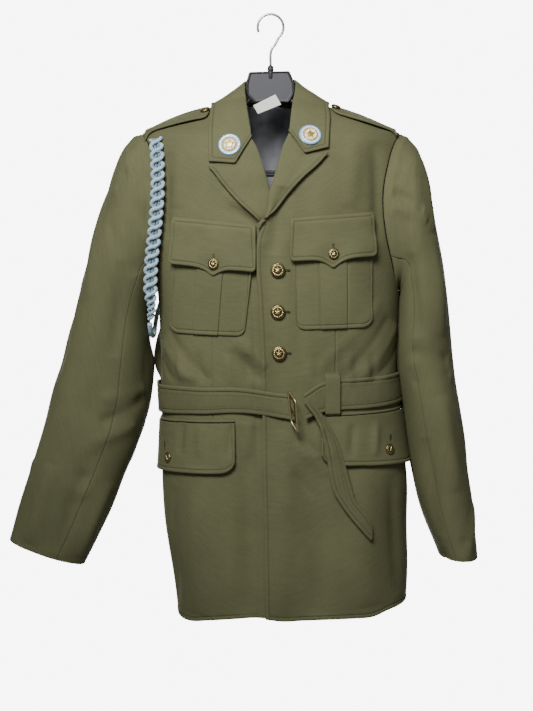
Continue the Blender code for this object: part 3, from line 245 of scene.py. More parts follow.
def drift(points):
    """Slow unevenness of hanging cloth."""
    x, y, z = points[..., 0], points[..., 1], points[..., 2]
    return (0.50 * np.sin(x / 23 + z / 41 + 1.3 + np.sign(y)) + 0.40 * np.sin(x / 14 - z / 33 + 0.4)
        + 0.30 * np.sin(y / 17 + z / 19 + 2.1))


COAT_LINES = fold_lines()


def relief(points):
    """Creases of the coat, calm under the belt and on top of the shoulders."""
    y, z = points[..., 1], points[..., 2]
    belted = eased(-600, -586, z) * (1 - eased(-540, -526, z))
    topped = (1 - eased(20, 55, np.abs(y))) * eased(-225, -185, z)
    calm = (1 - 0.75 * belted) * (1 - topped) * (1 - 0.8 * eased(-150, -128, z))
    return (1.9 * creased(points, COAT_LINES) + drift(points)) * calm


def layer(angle, z, lift=0.0):
    """Point that stands out from the creased coat by lift."""
    angle, z = np.asarray(angle, float), np.asarray(z, float)
    base = skin(angle, z)
    height = np.asarray(lift, float) + relief(base)
    return base + outward(angle, z) * height[..., None]


def at_shares(start, end, z, shares, last=SEAM / 2):
    """Angles from start to end at height z, at these shares of the way along the cloth."""
    angles = np.linspace(start, end, 241)
    along = travelled(skin(angles, z))
    first = SEAM / 2
    return np.interp(first + (along[-1] - first - last) * np.asarray(shares), along, angles)


def to_side(start, end, side, z, shares):
    """As at_shares, but above the armpit the rows slowly leave the columns of those below it."""
    if z <= ARMPIT_Z:
        return at_shares(start, end, z, shares, last=0)
    row = at_shares(start, end, z, shares)
    below = at_shares(start, side * math.pi / 2, z, shares)
    way = np.sign(end - start)
    packed = row[-1] * way - 0.0006 * np.arange(len(shares))[::-1]
    held = float(eased(ARMPIT_Z + 60, ARMPIT_Z + 2, z))
    return row * (1 - held) + way * np.minimum(way * below, packed) * held


# Where each front ends towards the middle: neckline and roll line, then the front edge
EDGE_COLUMNS = ("z", "x")
LEFT_FRONT_EDGE = (
    (-121, 45), (-128, 43), (-146, 37), (-168, 31), (-190, 20.5), (-214, 13), (-235, 7.5), (-262, -1),
    (-292, -8), (-323, -18.5), (-345, -20.5), (-420, -17), (-500, -13), (-587, -12), (-871, -7),
    (-900, -7),
)
RIGHT_FRONT_EDGE = (
    (-121, -45), (-128, -44), (-146, -40), (-168, -34), (-186, -28), (-202, -19), (-232, -10),
    (-262, -1.5), (-292, 8), (-322, 14), (-345, 26), (-370, 30), (-900, 30),
)
LEFT_EDGE_X = curve(LEFT_FRONT_EDGE, EDGE_COLUMNS, "x")
RIGHT_EDGE_X = curve(RIGHT_FRONT_EDGE, EDGE_COLUMNS, "x")

# Hem height by x, on the front and on the back
HEM_COLUMNS = ("x", "front", "back")
HEM = (
    (-160, -886, -880), (-124, -889, -884), (-90, -882, -882), (-50, -876, -880), (-15, -873.5, -878.5),
    (15, -878, -877.5), (50, -876.5, -876), (90, -875.5, -874), (120, -876, -872), (150, -876, -870),
    (171, -870, -868.5), (205, -866, -866),
)


def lift_left(x, z):
    """The left front laps over: it rises where the right lapel lies under it."""
    return LAP * (1 - eased(18, 55, x)) * eased(-356, -328, z) * (1 - eased(-262, -215, z))


def lift_right(x, z):
    """The right front laps under: it sinks by one layer next to the middle."""
    return -(LAP + SEAM) * eased(-62, -22, x) * (1 - eased(-262, -230, z)) * (1 + 0 * x)


def outer_angle(z, side, back=False):
    """Angle of the shoulder seam, armhole or side seam on one side, +1 for the wearer's left."""
    if z >= SHOULDER_Z or z <= ARMPIT_Z:
        return side * math.pi / 2
    x = ARM_SEAM["right" if side > 0 else "left"](z)
    angle = float(angle_of(x, z))
    return side * math.pi - angle if back else angle


def hem_shift(points, z, heights, back=False):
    """Slides the skirt's rows so that the last one follows the hem."""
    front, rear = (curve(HEM, HEM_COLUMNS, name)(points[..., 0]) for name in ("front", "back"))
    own, other = (rear, front) if back else (front, rear)
    hem = own + 0.5 * (other - own) * (1 - eased(0, 45, np.abs(points[..., 1])))
    share = np.clip((ARMPIT_Z - z) / (ARMPIT_Z - heights[-1]), 0, 1) ** 2
    return z + share * (hem - heights[-1])


# Sleeves, by stations down the arm: outer x and z, inner x and z, middle y, half depth
LEFT_SLEEVE = (
    (205.5, -183, 189, -407, 0, 78), (219.5, -199, 190, -409.5, 0, 80), (229.5, -227, 190.8, -413, 0, 80),
    (239, -270, 188.7, -418, 0, 80), (250.5, -330, 187.5, -427, 0, 79), (262, -405, 186, -450, 0, 77),
    (269, -470, 184, -490, 0, 74), (275.5, -530, 190.5, -540, -2, 72), (284.5, -578, 196.5, -583, -4, 70),
    (290, -622, 203, -624, -7, 68), (295, -668, 210.5, -668, -10, 66), (301, -714, 219, -710, -14, 64),
    (305.5, -757, 234, -753, -18, 62), (310, -801, 252.5, -799, -22, 60),
)
RIGHT_SLEEVE = (
    (-205.5, -183, -170.5, -408, 0, 78), (-220.5, -201, -172.5, -411, 0, 80),
    (-233.5, -230, -174.5, -415, 0, 80), (-244.5, -272, -176.5, -421, 0, 80),
    (-259.5, -320, -178.5, -430, 0, 78), (-280.5, -390, -180.5, -448, 0, 75),
    (-298.5, -455, -182, -478, 0, 72), (-312, -505, -183.5, -520, -1, 68),
    (-327, -558, -187, -585, -3, 64), (-341, -610, -201, -638, -6, 60), (-356, -660, -222, -690, -9, 55),
    (-371, -708, -243, -740, -12, 50), (-383, -746, -261, -780, -15, 46),
    (-391.5, -777, -280, -814.5, -18, 42),
)
SLEEVE_POWER = 2.15
FRONT_SEAM_DEG, BACK_SEAM_DEG = (124.0, 108.0), (-112.0, -100.0)  # at the armhole and cuff
SEAM_DEG = 0.12  # half the seam gap, as a turn about the sleeve


def round_share(turn, power):
    """Cosine and sine of a turn, squared off by the power of the section."""
    cosine, sine = np.cos(turn), np.sin(turn)
    return (np.sign(cosine) * np.abs(cosine) ** (2 / power), np.sign(sine) * np.abs(sine) ** (2 / power))


def armhole_ring(turn, side):
    """Seam line of the armhole: turn 0 is the shoulder tip, 90 degrees the front."""
    z = (SHOULDER_Z + ARMPIT_Z) / 2 + (SHOULDER_Z - ARMPIT_Z) / 2 * np.cos(turn)
    front = angle_of(ARM_SEAM["right" if side > 0 else "left"](z), z)
    angle = np.where(np.sin(turn) < 0, side * math.pi - front, front)
    return layer(angle, z) + np.array([side * 2 * SEAM, 0, 0])


def on_front(x, z, lift, side):
    """Point over the front of the coat, standing out from that side's front panel."""
    below = lift_left(x, z) if side > 0 else lift_right(x, z)
    return layer(angle_of(x, z), z, below + lift)


CHORD = 0.8  # what lies on a panel stands this much more off, for the panel's flat facets
# Lapels: x and z of the roll line, of the middle and of the edge
LEFT_LAPEL = (
    (-17, -315, -17.8, -311, -18.5, -306.5), (-5.5, -292, 0, -291, 6, -289),
    (-1, -262, 13, -264, 26, -265), (7.5, -235, 27, -240, 46, -243), (17, -203, 40, -220, 65, -226),
    (27, -180, 48, -212, 82, -207),
)
RIGHT_LAPEL = (
    (14, -322, 4, -319, -8, -315), (8, -292, -8, -295, -24, -297), (-1.5, -262, -24, -272, -44, -279),
    (-10, -232, -36, -249, -66, -254), (-19, -204, -42, -230, -79, -237),
    (-27.5, -188.5, -50, -226, -88, -227),
)


# Collar fall, from the end at the left lapel round the neck to the right. A row with no
# y lies on the front; the others stand clear of the shoulders and the back.
# Columns: x, y and z of the fold, of the middle and of the edge.
COLLAR_LEFT_FRONT = (
    (27, None, -178.5, 48, None, -208.5, 82, None, -200),
    (29.5, None, -160, 52, None, -178, 83.5, None, -178),
    (32, None, -143, 56, None, -154, 85, None, -158),
)
COLLAR_RIGHT_FRONT = (
    (-28, None, -187, -50, None, -222.5, -87.5, None, -220),
    (-31, None, -167, -54, None, -190, -88, None, -196),
    (-34.5, None, -148, -58, None, -162, -88.5, None, -172),
)
COLLAR_LEFT_SIDE = (
    (36, -34, -119, 59, -46, -134, 85, -45, -141), (39, -16, -104, 62, -24, -119, 85.5, -24, -133),
    (41, 8, -97, 63, 6, -115, 85.5, 4, -130), (37, 34, -91, 52, 44, -112, 70, 52, -132),
    (22, 54, -89.5, 30, 67, -111, 39, 80, -137),
)
COLLAR_RIGHT_SIDE = (
    (-38, -34, -122, -61, -46, -139, -86.5, -46, -146),
    (-40, -16, -105, -62, -24, -122, -86.5, -24, -135), (-42, 8, -99.5, -64, 6, -116.5, -86, 4, -132),
    (-38, 34, -93, -52, 44, -113, -70, 52, -133), (-22, 54, -90.5, -30, 67, -112, -39, 80, -138),
)
COLLAR_BACK = ((0.0, 60.0, -88.5, 0.0, 74.0, -110.0, 0.0, 86.0, -139.0),)


def collar_rows():
    """Rows of the collar, each with its y worked out where it lies on the front."""
    rows = []
    ordered = (COLLAR_LEFT_FRONT + COLLAR_LEFT_SIDE + COLLAR_BACK + COLLAR_RIGHT_SIDE[::-1]
        + COLLAR_RIGHT_FRONT[::-1])
    for row in ordered:
        filled = []
        for x, y, z in zip(row[0::3], row[1::3], row[2::3]):
            if y is None:
                filled += list(on_front(np.float64(x), np.float64(z), LAP, math.copysign(1, x)))
            else:
                filled += [x, y, z]
        rows.append(tuple(filled))
    return rows


def clear_of_coat(points, lift):
    """Points moved out of the coat until each stands off by at least lift."""
    for _ in range(4):
        centre, half, front, back, power = section_at(points[..., 2])
        depth = np.where(points[..., 1] < 0, front, back)
        across = (points[..., 0] - centre) / half
        ahead = -points[..., 1] / depth
        angle = np.arctan2(np.sign(across) * np.abs(across) ** (power / 2),
            np.sign(ahead) * np.abs(ahead) ** (power / 2))
        normal = outward(angle, points[..., 2])
        stands = np.sum((points - skin(angle, points[..., 2])) * normal, axis=-1)
        short = np.where(points[..., 2] < NECK_Z, np.clip(lift - stands, 0, None), 0)
        points = points + normal * short[..., None]
    return points


# Breast patches: x of top left, top right, low left and low right, z of the top, low left and
# low right, and x of the pleat's left and right at the top
RIGHT_PATCH = (-137.0, -22.0, -145.0, -36.0, -330.0, -464.0, -467.0, -101.0, -63.0)
LEFT_PATCH = (28.0, 145.0, 36.0, 144.0, -322.0, -458.0, -455.0, 67.0, 106.0)
PATCH_CORNER, PLEAT_RISE = 13.0, 1.3

# Breast flaps: left and right x, z of top left, top right, low left, point and low right
RIGHT_FLAP = (-139.5, -21.0, -297.0, -309.0, -364.0, -379.0, -376.0)
LEFT_FLAP = (27.0, 146.5, -299.5, -290.0, -361.0, -368.0, -354.0)
FLAP_CORNER = 6.0


def rounded(distance, radius):
    """How far a corner's curve lies inside the corner, at this distance from the side."""
    reach = np.clip(radius - distance, 0, radius)
    return radius - np.sqrt(radius**2 - reach**2)


# Hip flaps: x of the front end, how far they reach beyond the side, z of top front, top side,
# low front and low side
RIGHT_HIP = (-51.0, 26.0, -592.0, -599.0, -664.0, -671.0)
LEFT_HIP = (73.0, 15.0, -583.0, -579.0, -652.0, -660.0)
LEFT_JET = (101.0,) + LEFT_HIP[1:]
HIP_CORNER, JET_HEIGHT, JET_GAP = 16.0, 4.2, 1.0


BELT_COLUMNS = ("angle", "top z", "low z", "lift")
BELT = (
    (3.4, -551, -588, 6.4), (1.5, -549, -586, 6.4), (-2.5, -546, -582, 5), (-8, -542.5, -579, 4),
    (-35, -541, -580.5, 3.8), (-60, -541, -583, 3.9), (-80, -541.5, -584.5, 4), (-95, -541.5, -585, 6.3),
    (-107, -541, -585, 5.6), (-140, -540, -584, 4.2), (-180, -537, -581, 3.6), (-225, -531, -576, 3.6),
    (-270, -525, -569, 3.6), (-325, -528, -573, 3.8), (-338, -529, -574, 4), (-346, -534, -577, 6),
    (-353, -548, -586, 10.5),
)


# Loose end of the belt: x, z and lift of its left edge, then of its right edge
TAIL = (
    (46, -561, 17, 52, -556, 14), (54, -571, 16, 63, -566, 10.5), (63, -585, 15, 76, -583, 9.5),
    (72, -608, 13, 92, -611, 8), (79, -645, 11.5, 104, -645, 7.5), (87, -685, 10, 114, -683, 6),
    (100, -710, 9, 121, -705, 5), (116, -733, 7.5, 133, -722, 4.5), (133, -755, 6, 141, -737, 4.5),
    (139, -762, 5, 142, -757, 4.5),
)


# Loop that holds the belt: its first x, its top and its foot
KEEPER_X, KEEPER_TOP, KEEPER_LOW = 77.0, -524.0, -580.0


BUCKLE_WIRE = 1.5
BUCKLE_CORNERS = (
    # x, z, lift
    (24.5, -544, 8.4),
    (34.5, -556.5, 24),
    (38, -604, 21),
    (29.5, -590, 8.4),
)


# Name, x, z, side, lift, diameter
BUTTONS = (
    ("front_button_1", 10, -373, 1, 0, FRONT_BUTTON), ("front_button_2", 10, -432, 1, 0, FRONT_BUTTON),
    ("front_button_3", 12, -491, 1, 0, FRONT_BUTTON),
    ("breast_button_right", -79, -364, -1, 6.8, POCKET_BUTTON),
    ("breast_button_left", 87, -350, 1, 6.8, POCKET_BUTTON),
    ("hip_button_right", -146, -648, -1, 3.4, POCKET_BUTTON),
    ("hip_button_left", 169.5, -634, 1, 3.8, POCKET_BUTTON),
)
# Name, x, z, how far the disc stands off
DISCS = (("disc_right", -59.0, -195.0, 0.35), ("disc_left", 56.0, -180.0, 0.12))


STRAP_COLUMNS = ("x", "half width", "left middle", "right middle")
STRAP = (
    (88.5, 6, -27, -42), (91, 13, -27, -42), (96.5, 18, -27, -40), (108, 20, -27, -37),
    (150, 22, -22, -27), (182, 22, -15, -12),
)
STRAP_STAND = DOUBLE_CLOTH + 3 * SEAM
STRAP_BUTTON_X = 94.0


def top_of_coat(x, y, lift=0.0):
    """Point of the shoulder over (x, y)."""
    low, high = np.full(np.shape(x), -300.0), np.full(np.shape(x), -116.5)
    for _ in range(40):
        z = (low + high) / 2
        centre, half, front, back, power = section_at(z)
        depth = np.where(y < 0, front, back)
        outside = (np.abs(x - centre) / half) ** power + (np.abs(y) / depth) ** power > 1
        high = np.where(outside, z, high)
        low = np.where(outside, low, z)
    step = 0.5
    if not np.any(lift):
        return np.stack([x, y, z], axis=-1)
    across = top_of_coat(x + step, y) - top_of_coat(x - step, y)
    along = top_of_coat(x, y + step) - top_of_coat(x, y - step)
    normal = np.cross(across, along)
    normal /= np.linalg.norm(normal, axis=-1, keepdims=True)
    return np.stack([x, y, z], axis=-1) + normal * np.asarray(lift, float)[..., None]


def strap_middle(side, along):
    """The y of the strap's middle line at this distance from the neck."""
    return curve(STRAP, STRAP_COLUMNS, "left middle" if side > 0 else "right middle")(along)


# Routes of the braid and of the thin cord: x, y and z of their points
BRAID_PATH = (
    (-166, -63, -184), (-163, -73, -212), (-162.5, -79, -264), (-167, -79, -318), (-172, -76, -360),
    (-174, -74, -402), (-173, -70, -429), (-175.5, -63, -446),
)
CORD_RADIUS = 3.6
CORD_UNDER_ARM = (
    (-176, -62, -452), (-175.5, -48, -466), (-174.5, -20, -472), (-174.5, 8, -468), (-174.5, 34, -455),
    (-172, 60, -436),
)
CORD_UP_BACK = (
    # x, z
    (-156, -405),
    (-148, -350),
    (-144, -290),
    (-145, -235),
    (-148, -200),
    (-151, -180),
)
CORD_AT_STRAP = ((-153.0, 43.0), (-154.0, 26.5))  # x, y on top of the shoulder


LINING_TOP, LINING_LOW = -131.0, -845.0
LINING_REACH, LINING_EASE = 1.3, 7.4


# Corners of the neck label: x, y, z
LABEL = ((-25.8, -4.5, -131.9), (7.2, -4.5, -115.6), (15.9, -4.5, -130.6), (-18.6, -4.5, -144.4))


# Outline of the hanger's plate: x, z
PLATE = (
    (-32.0, -82.5), (28.0, -81.0), (35.5, -98.0), (35.8, -113.0), (28.0, -127.0), (-25.0, -127.0),
    (-36.6, -115.0), (-36.6, -99.0),
)
HOOK_WIRE, HOOK_RADIUS = 1.9, 19.0
ARM_START = {1: (31.4, -124.2), -1: (-31.4, -123.4)}  # x, z at the plate
BAR_TALL, BAR_THICK, BAR_Z, BAR_HALF = 4.8, 3.0, -232.0, 150.0

SIDES = ((1, "left"), (-1, "right"))
SOCKET_TOP, SOCKET_LOW = -73.0, -81.2
BUTTONHOLES = (
    # name, x, z, side, lift, length, direction
    ("buttonhole_hip_right", -151.5, -632, -1, 4.4, 13, (0, 0, 1)),
    ("buttonhole_hip_left", 171.5, -619, 1, 4.6, 13, (0, 0, 1)),
    ("buttonhole_breast_right", -79, -353.5, -1, 7.3, 7, (0, 0, 1)),
    ("buttonhole_breast_left", 87, -339.5, 1, 7.3, 7, (0, 0, 1)),
    ("buttonhole_front_1", 22.5, -373, 1, 0.2, 9, (1, 0, 0)),
    ("buttonhole_front_2", 22.5, -432, 1, 0.2, 9, (1, 0, 0)),
    ("buttonhole_front_3", 24.5, -491, 1, 0.2, 9, (1, 0, 0)),
)


# ---- meshes

# Materials, each named for what it is and how it is made
SERGE, SATIN = "Wool serge, twill woven", "Acetate satin, woven"
THREAD_LOOK, TWIST = "Cotton thread, twisted", "Silk twist, worked"
GILT, ENAMEL = "Antique gilt brass, struck", "Vitreous enamel, fired"
MEDAL = "Gilt brass, struck and enamelled"
BRAID_LOOK, TAPE = "Rayon cord, laid and knotted", "Polyester tape, woven"
PLASTIC, SOCKET_LOOK = "Polystyrene, injection moulded", "Nylon, injection moulded"
STEEL, PAPER = "Zinc plated steel, drawn", "Background paper, matt"

FORWARD = np.array([0.0, -1.0, 0.0])
SEAM_DIP, SEAM_REACH = 0.9, 2.4  # a seam is a shallow valley
WELT, STITCH_DIP, WELT_PUFF = 6.0, 0.60, 0.50  # edge stitching, and the fullness outside it
NARROWEST_CUT = 0.01  # metres; a narrower strip is stated as this wide, with its own area
EDGE_STEPS = {
    "plain": (
        0, 1.2,
    ),
    "seam": (
        0, 0.5, 1.1, 1.8, 2.6,
    ),
    "rolled": (
        0, 0.15, 0.45, 0.9, 1.5, 2.4,
    ),
    "stitched": (
        0, 0.15, 0.45, 0.9, 1.6, 3, 4.4, 5.2, 5.7, 6, 6.3, 6.8, 7.6, 9,
    ),
}


def spaced(length, step, first="plain", last="plain"):
    """Shares of a length: close together where an edge is finished, wide apart between."""
    start, end = np.array(EDGE_STEPS[first]), np.array(EDGE_STEPS[last])
    count = max(int(round((length - start[-1] - end[-1]) / step)), 2)
    inner = np.linspace(start[-1], length - end[-1], count + 1)[1:-1]
    return np.concatenate([start, inner, length - end[::-1]]) / length


def lengths(points, axis):
    """Distance of each point from the start of its column or row, along the cloth."""
    steps = np.linalg.norm(np.diff(points, axis=axis), axis=-1)
    start = np.zeros_like(np.take(steps, [0], axis=axis))
    return np.concatenate([start, np.cumsum(steps, axis=axis)], axis=axis)


def unit_normals(points, facing):
    """Unit normals of a grid on the side that facing points to, and 1 or -1 for its turn."""
    normals = np.cross(np.gradient(points, axis=0), np.gradient(points, axis=1))
    normals /= np.maximum(np.linalg.norm(normals, axis=-1, keepdims=True), 1e-9)
    turn = 1 if np.sum(normals * facing) > 0 else -1
    return normals * turn, turn


def make_object(name, points, faces, looks, face_looks=None, fields=None, merge=False):
    """Smooth mesh object from points in millimetres, with named values on its points."""
    mesh = bpy.data.meshes.new(name)
    mesh.from_pydata((np.asarray(points, float) * MM).tolist(), [], faces)
    for look in looks:
        mesh.materials.append(bpy.data.materials[look])
    if face_looks is not None:
        mesh.polygons.foreach_set("material_index", np.asarray(face_looks, np.int32))
    mesh.polygons.foreach_set("use_smooth", np.ones(len(faces), bool))
    for key, values in (fields or {}).items():
        vector = values.ndim > 1
        field = mesh.attributes.new(key, "FLOAT_VECTOR" if vector else "FLOAT", "POINT")
        field.data.foreach_set("vector" if vector else "value", values.astype(np.float32).ravel())
    if merge:
        builder = bmesh.new()
        builder.from_mesh(mesh)
        bmesh.ops.remove_doubles(builder, verts=builder.verts, dist=0.004 * MM)
        builder.to_mesh(mesh)
        builder.free()
    made = bpy.data.objects.new(name, mesh)
    bpy.context.scene.collection.objects.link(made)
    return made


def grid_faces(rows, columns, start=0, flip=False, ring=False):
    """Quads over a grid of points numbered by rows."""
    row = np.arange(rows - 1)[:, None] * columns
    column = np.arange(columns if ring else columns - 1)[None, :]
    beside = (column + 1) % columns
    corners = [row + column, row + columns + column, row + columns + beside, row + beside]
    faces = np.stack(corners, axis=-1).reshape(-1, 4) + start
    return (faces[:, ::-1] if flip else faces).tolist()


def nearest_edge(gaps, edges, kinds):
    """Distance to the nearest edge of these kinds, or far away where there is none."""
    chosen = [gap for gap, kind in zip(gaps, edges) if kind in kinds]
    return np.minimum.reduce(chosen) if chosen else np.full(gaps[0].shape, 999.0)


def shell(name, points, facing, wall=CLOTH, edges=("seam",) * 4, extra=0.0, look=SERGE, lined_from=None,
        seam_share=1.0):
    """Wall of cloth whose outside is the grid of points, with finished edges.

    The edges are at the first and last column and the first and last row. Extra height
    shapes the outside, lined_from is how far in from the first column the lining starts, and
    seam_share how deep the seams are and how much painted shade they get.
    """
    rows, columns = points.shape[:2]
    normals, turn = unit_normals(points, facing)
    across, down = lengths(points, 1), lengths(points, 0)
    gaps = (across, across[:, -1:] - across, down, down[-1:] - down)
    rolled = nearest_edge(gaps, edges, ("rolled", "stitched"))
    sewn = nearest_edge(gaps, edges, ("stitched",))
    seam = nearest_edge(gaps, edges, ("seam",))
    radius = wall / 2
    reach = np.clip(radius - rolled, 0, radius)
    roll = radius - np.sqrt(radius**2 - reach**2)
    stitched = np.exp(-(((sewn - WELT) / 0.75) ** 2))
    puffed = eased(0, 1.6, sewn) * (1 - eased(WELT - 1.8, WELT, sewn))
    valley = seam_share * np.clip(1 - seam / SEAM_REACH, 0, 1) ** 2
    outside = extra - roll - SEAM_DIP * valley - STITCH_DIP * stitched + WELT_PUFF * puffed
    inside = roll - wall
    outer = points + normals * (outside + 0 * across)[..., None]
    inner = points + normals * (inside + 0 * across)[..., None]
    both = np.concatenate([outer.reshape(-1, 3), inner.reshape(-1, 3)])
    number = np.arange(rows * columns).reshape(rows, columns)
    rim = np.concatenate([number[0, :-1], number[:-1, -1], number[-1, :0:-1], number[:0:-1, 0]])
    before = np.roll(rim, 1)
    size = rows * columns
    border = np.stack([before, rim, rim + size, before + size], axis=-1)
    border = border if turn > 0 else border[:, ::-1]
    faces = grid_faces(rows, columns, flip=turn < 0)
    under = grid_faces(rows, columns, size, flip=turn > 0)
    looks, face_looks = [look], None
    if lined_from is not None:
        looks.append(SATIN)
        middle = across[:-1, :-1].ravel()
        lined = (middle > lined_from).astype(int)
        face_looks = np.concatenate([0 * middle, lined, np.zeros(len(border))])
    weft = np.stack([across, down, 0 * down], axis=-1).reshape(-1, 3) * MM
    # Painted shade: the deep value darkens the cloth in seam valleys and along stitching lines, where
    # shade falls.
    deep = np.clip(0.75 * stitched + 0.9 * valley + 0 * across, 0, 1).ravel()
    fields = {"weft": np.concatenate([weft, weft]), "deep": np.concatenate([deep, 0 * deep])}
    made = make_object(name, both, faces + under + border.tolist(), looks, face_looks, fields, True)
    return {"object": made, "points": outer, "normals": normals, "gaps": gaps, "edges": edges}


def measured(points):
    """Width, length and area of a grid of cloth, laid flat, in metres."""
    width = lengths(points, 1)[:, -1].max() * MM
    length = lengths(points, 0)[-1].max() * MM
    first = np.cross(points[1:, 1:] - points[:-1, :-1], points[1:, :-1] - points[:-1, 1:])
    area = 0.5 * np.linalg.norm(first, axis=-1).sum() * MM * MM
    return width, length, area


def dress(piece, slot, *nodes):
    """The piece rides on the coat's body and stands for its solids."""
    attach(piece, "root")
    if nodes:
        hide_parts(*nodes)
    return piece


def cut_cloth(piece, slot="olive_serge"):
    """Dresses a shell and measures the flat cut of its cloth, which is not kept. It's named
    for its node and for what it is made of."""
    made = piece["object"]
    dress(made, slot, made.name.rsplit("_", 1)[0])
    width, length, area = measured(piece["points"])
    length = max(length, NARROWEST_CUT)
    return piece


def line_beside(piece, edge, distance, clear=0.0):
    """Points and normals of the line that runs beside one edge of a shell."""
    gap = piece["gaps"][edge]
    points, normals = piece["points"], piece["normals"]
    sideways = edge < 2
    ends = piece["gaps"][2:] if sideways else piece["gaps"][:2]
    if not sideways:
        gap, points, normals = gap.T, points.swapaxes(0, 1), normals.swapaxes(0, 1)
        ends = [end.T for end in ends]
    line, lift = [], []
    for row in range(len(gap)):
        order = np.argsort(gap[row])
        spot = gap[row][order]
        if spot[-1] < distance:
            continue
        values = [np.interp(distance, spot, end[row][order]) for end in ends]
        if min(values) < clear:
            continue
        line.append(read_at(distance, spot, points[row, order]))
        lift.append(read_at(distance, spot, normals[row, order]))
    return np.array(line), np.array(lift)


STITCH_LENGTH, STITCH_PITCH, THREAD = 2.9, 3.6, 0.34


def sew(name, lines, look, slot="olive_serge"):
    """Rows of thread stitches along lines of points, as one piece."""
    corners, faces = [], []
    for line, normals in lines:
        if len(line) < 3:
            continue
        along = travelled(line)
        for at in np.arange(STITCH_PITCH, along[-1] - STITCH_PITCH / 2, STITCH_PITCH):
            spot, up = read_at(at, along, line), read_at(at, along, normals)
            ahead = read_at(at + 1, along, line) - spot
            ahead, up = unit(ahead), unit(up)
            side = np.cross(ahead, up) * THREAD
            start = len(corners)
            end = ahead * STITCH_LENGTH / 2
            spot = spot + up * 0.12
            high = up * THREAD * 0.8
            corners += [spot - end, spot + side, spot + high, spot - side, spot - high, spot + end]
            for k in range(4):
                one, two = start + 1 + k, start + 1 + (k + 1) % 4
                faces += [(start, two, one), (start + 5, one, two)]
    made = make_object(name, corners, faces, [look])
    return dress(made, slot)


def stitch_lines(piece, distances=(WELT,)):
    """The stitching lines of a shell, one beside each edge that has them."""
    lines = []
    for edge, kind in enumerate(piece["edges"]):
        if kind == "stitched":
            lines += [line_beside(piece, edge, distance, distance) for distance in distances]
    return lines


def solid_object(name, points, faces, look, fields=None):
    """Smooth object of a closed piece, whose faces all look outward."""
    made = make_object(name, points.reshape(-1, 3), faces, [look], None, fields)
    builder = bmesh.new()
    builder.from_mesh(made.data)
    bmesh.ops.recalc_face_normals(builder, faces=builder.faces)
    builder.to_mesh(made.data)
    builder.free()
    return made


def ring_faces(rows, columns, closed=False, way=1):
    """Faces over a stack of rings: capped at both ends, or joined into a loop if closed."""
    faces = grid_faces(rows, columns, ring=True)
    last = (rows - 1) * columns
    if closed:
        return faces + [(last + k, k, (k + 1) % columns, last + (k + 1) % columns)
            for k in range(columns)]
    return faces + [list(range(columns)), list(range(last, last + columns))[::way]]


def tube(name, path, radii, look, sides=16, up=(0, 0, 1), heights=None, closed=False, field=None):
    """Round or oval bar along a path in millimetres, with domed ends."""
    path = np.asarray(path, float)
    radii = np.broadcast_to(radii, len(path)).astype(float)
    heights = radii if heights is None else np.broadcast_to(heights, len(path)).astype(float)
    if closed:
        tangents = np.roll(path, -1, axis=0) - np.roll(path, 1, axis=0)
    else:
        tangents = np.gradient(path, axis=0)
    tangents /= np.linalg.norm(tangents, axis=1, keepdims=True)
    if not closed:
        cap = np.radians([85, 60, 35])
        first = [(path[0] - tangents[0] * radii[0] * np.sin(a) * 0.6, np.cos(a), 0) for a in cap]
        last = [(path[-1] + tangents[-1] * radii[-1] * np.sin(a) * 0.6, np.cos(a), -1) for a in cap[::-1]]
        keep = [(point, 1.0, k) for k, point in enumerate(path)]
        rows = first + keep + last
        tangents = np.array([tangents[k] for _, _, k in rows])
        heights = np.array([heights[k] * share for _, share, k in rows])
        radii = np.array([radii[k] * share for _, share, k in rows])
        path = np.array([point for point, _, _ in rows])
    turns = np.arange(sides) / sides * 2 * math.pi
    _, across, tops = path_frames(path, up, tangents)
    rings = (path[:, None] + (radii[:, None] * np.cos(turns))[..., None] * across[:, None]
        + (heights[:, None] * np.sin(turns))[..., None] * tops[:, None])
    count = len(rings)
    along = travelled(path)
    weft = np.stack([np.repeat(along[:, None], sides, axis=1),
        np.repeat(turns[None] * radii.max(), count, axis=0), np.zeros((count, sides))],
        axis=-1).reshape(-1, 3) * MM
    return solid_object(name, rings, ring_faces(count, sides, closed, -1), look,
        {"weft": weft, **(field or {})})


# ---- shapes of the cloth pieces

SHOULDER_ROWS, ARM_ROWS, CLOTH_STEP = 42, 84, 3.1
DART_LEFT, DART_RIGHT = 93.0, -84.0
DART_TOP, DART_LOW = -452.0, -583.0
HEM_Z = -880.0


def panel_rows():
    """Heights of the rows of a front or back, finer on the shoulder and at the hem."""
    skirt = spaced(ARMPIT_Z - HEM_Z, CLOTH_STEP, "plain", "stitched")[1:]
    return np.concatenate([np.linspace(NECK_Z, SHOULDER_Z, SHOULDER_ROWS),
        np.linspace(SHOULDER_Z, ARMPIT_Z, ARM_ROWS)[1:], ARMPIT_Z + (HEM_Z - ARMPIT_Z) * skirt])


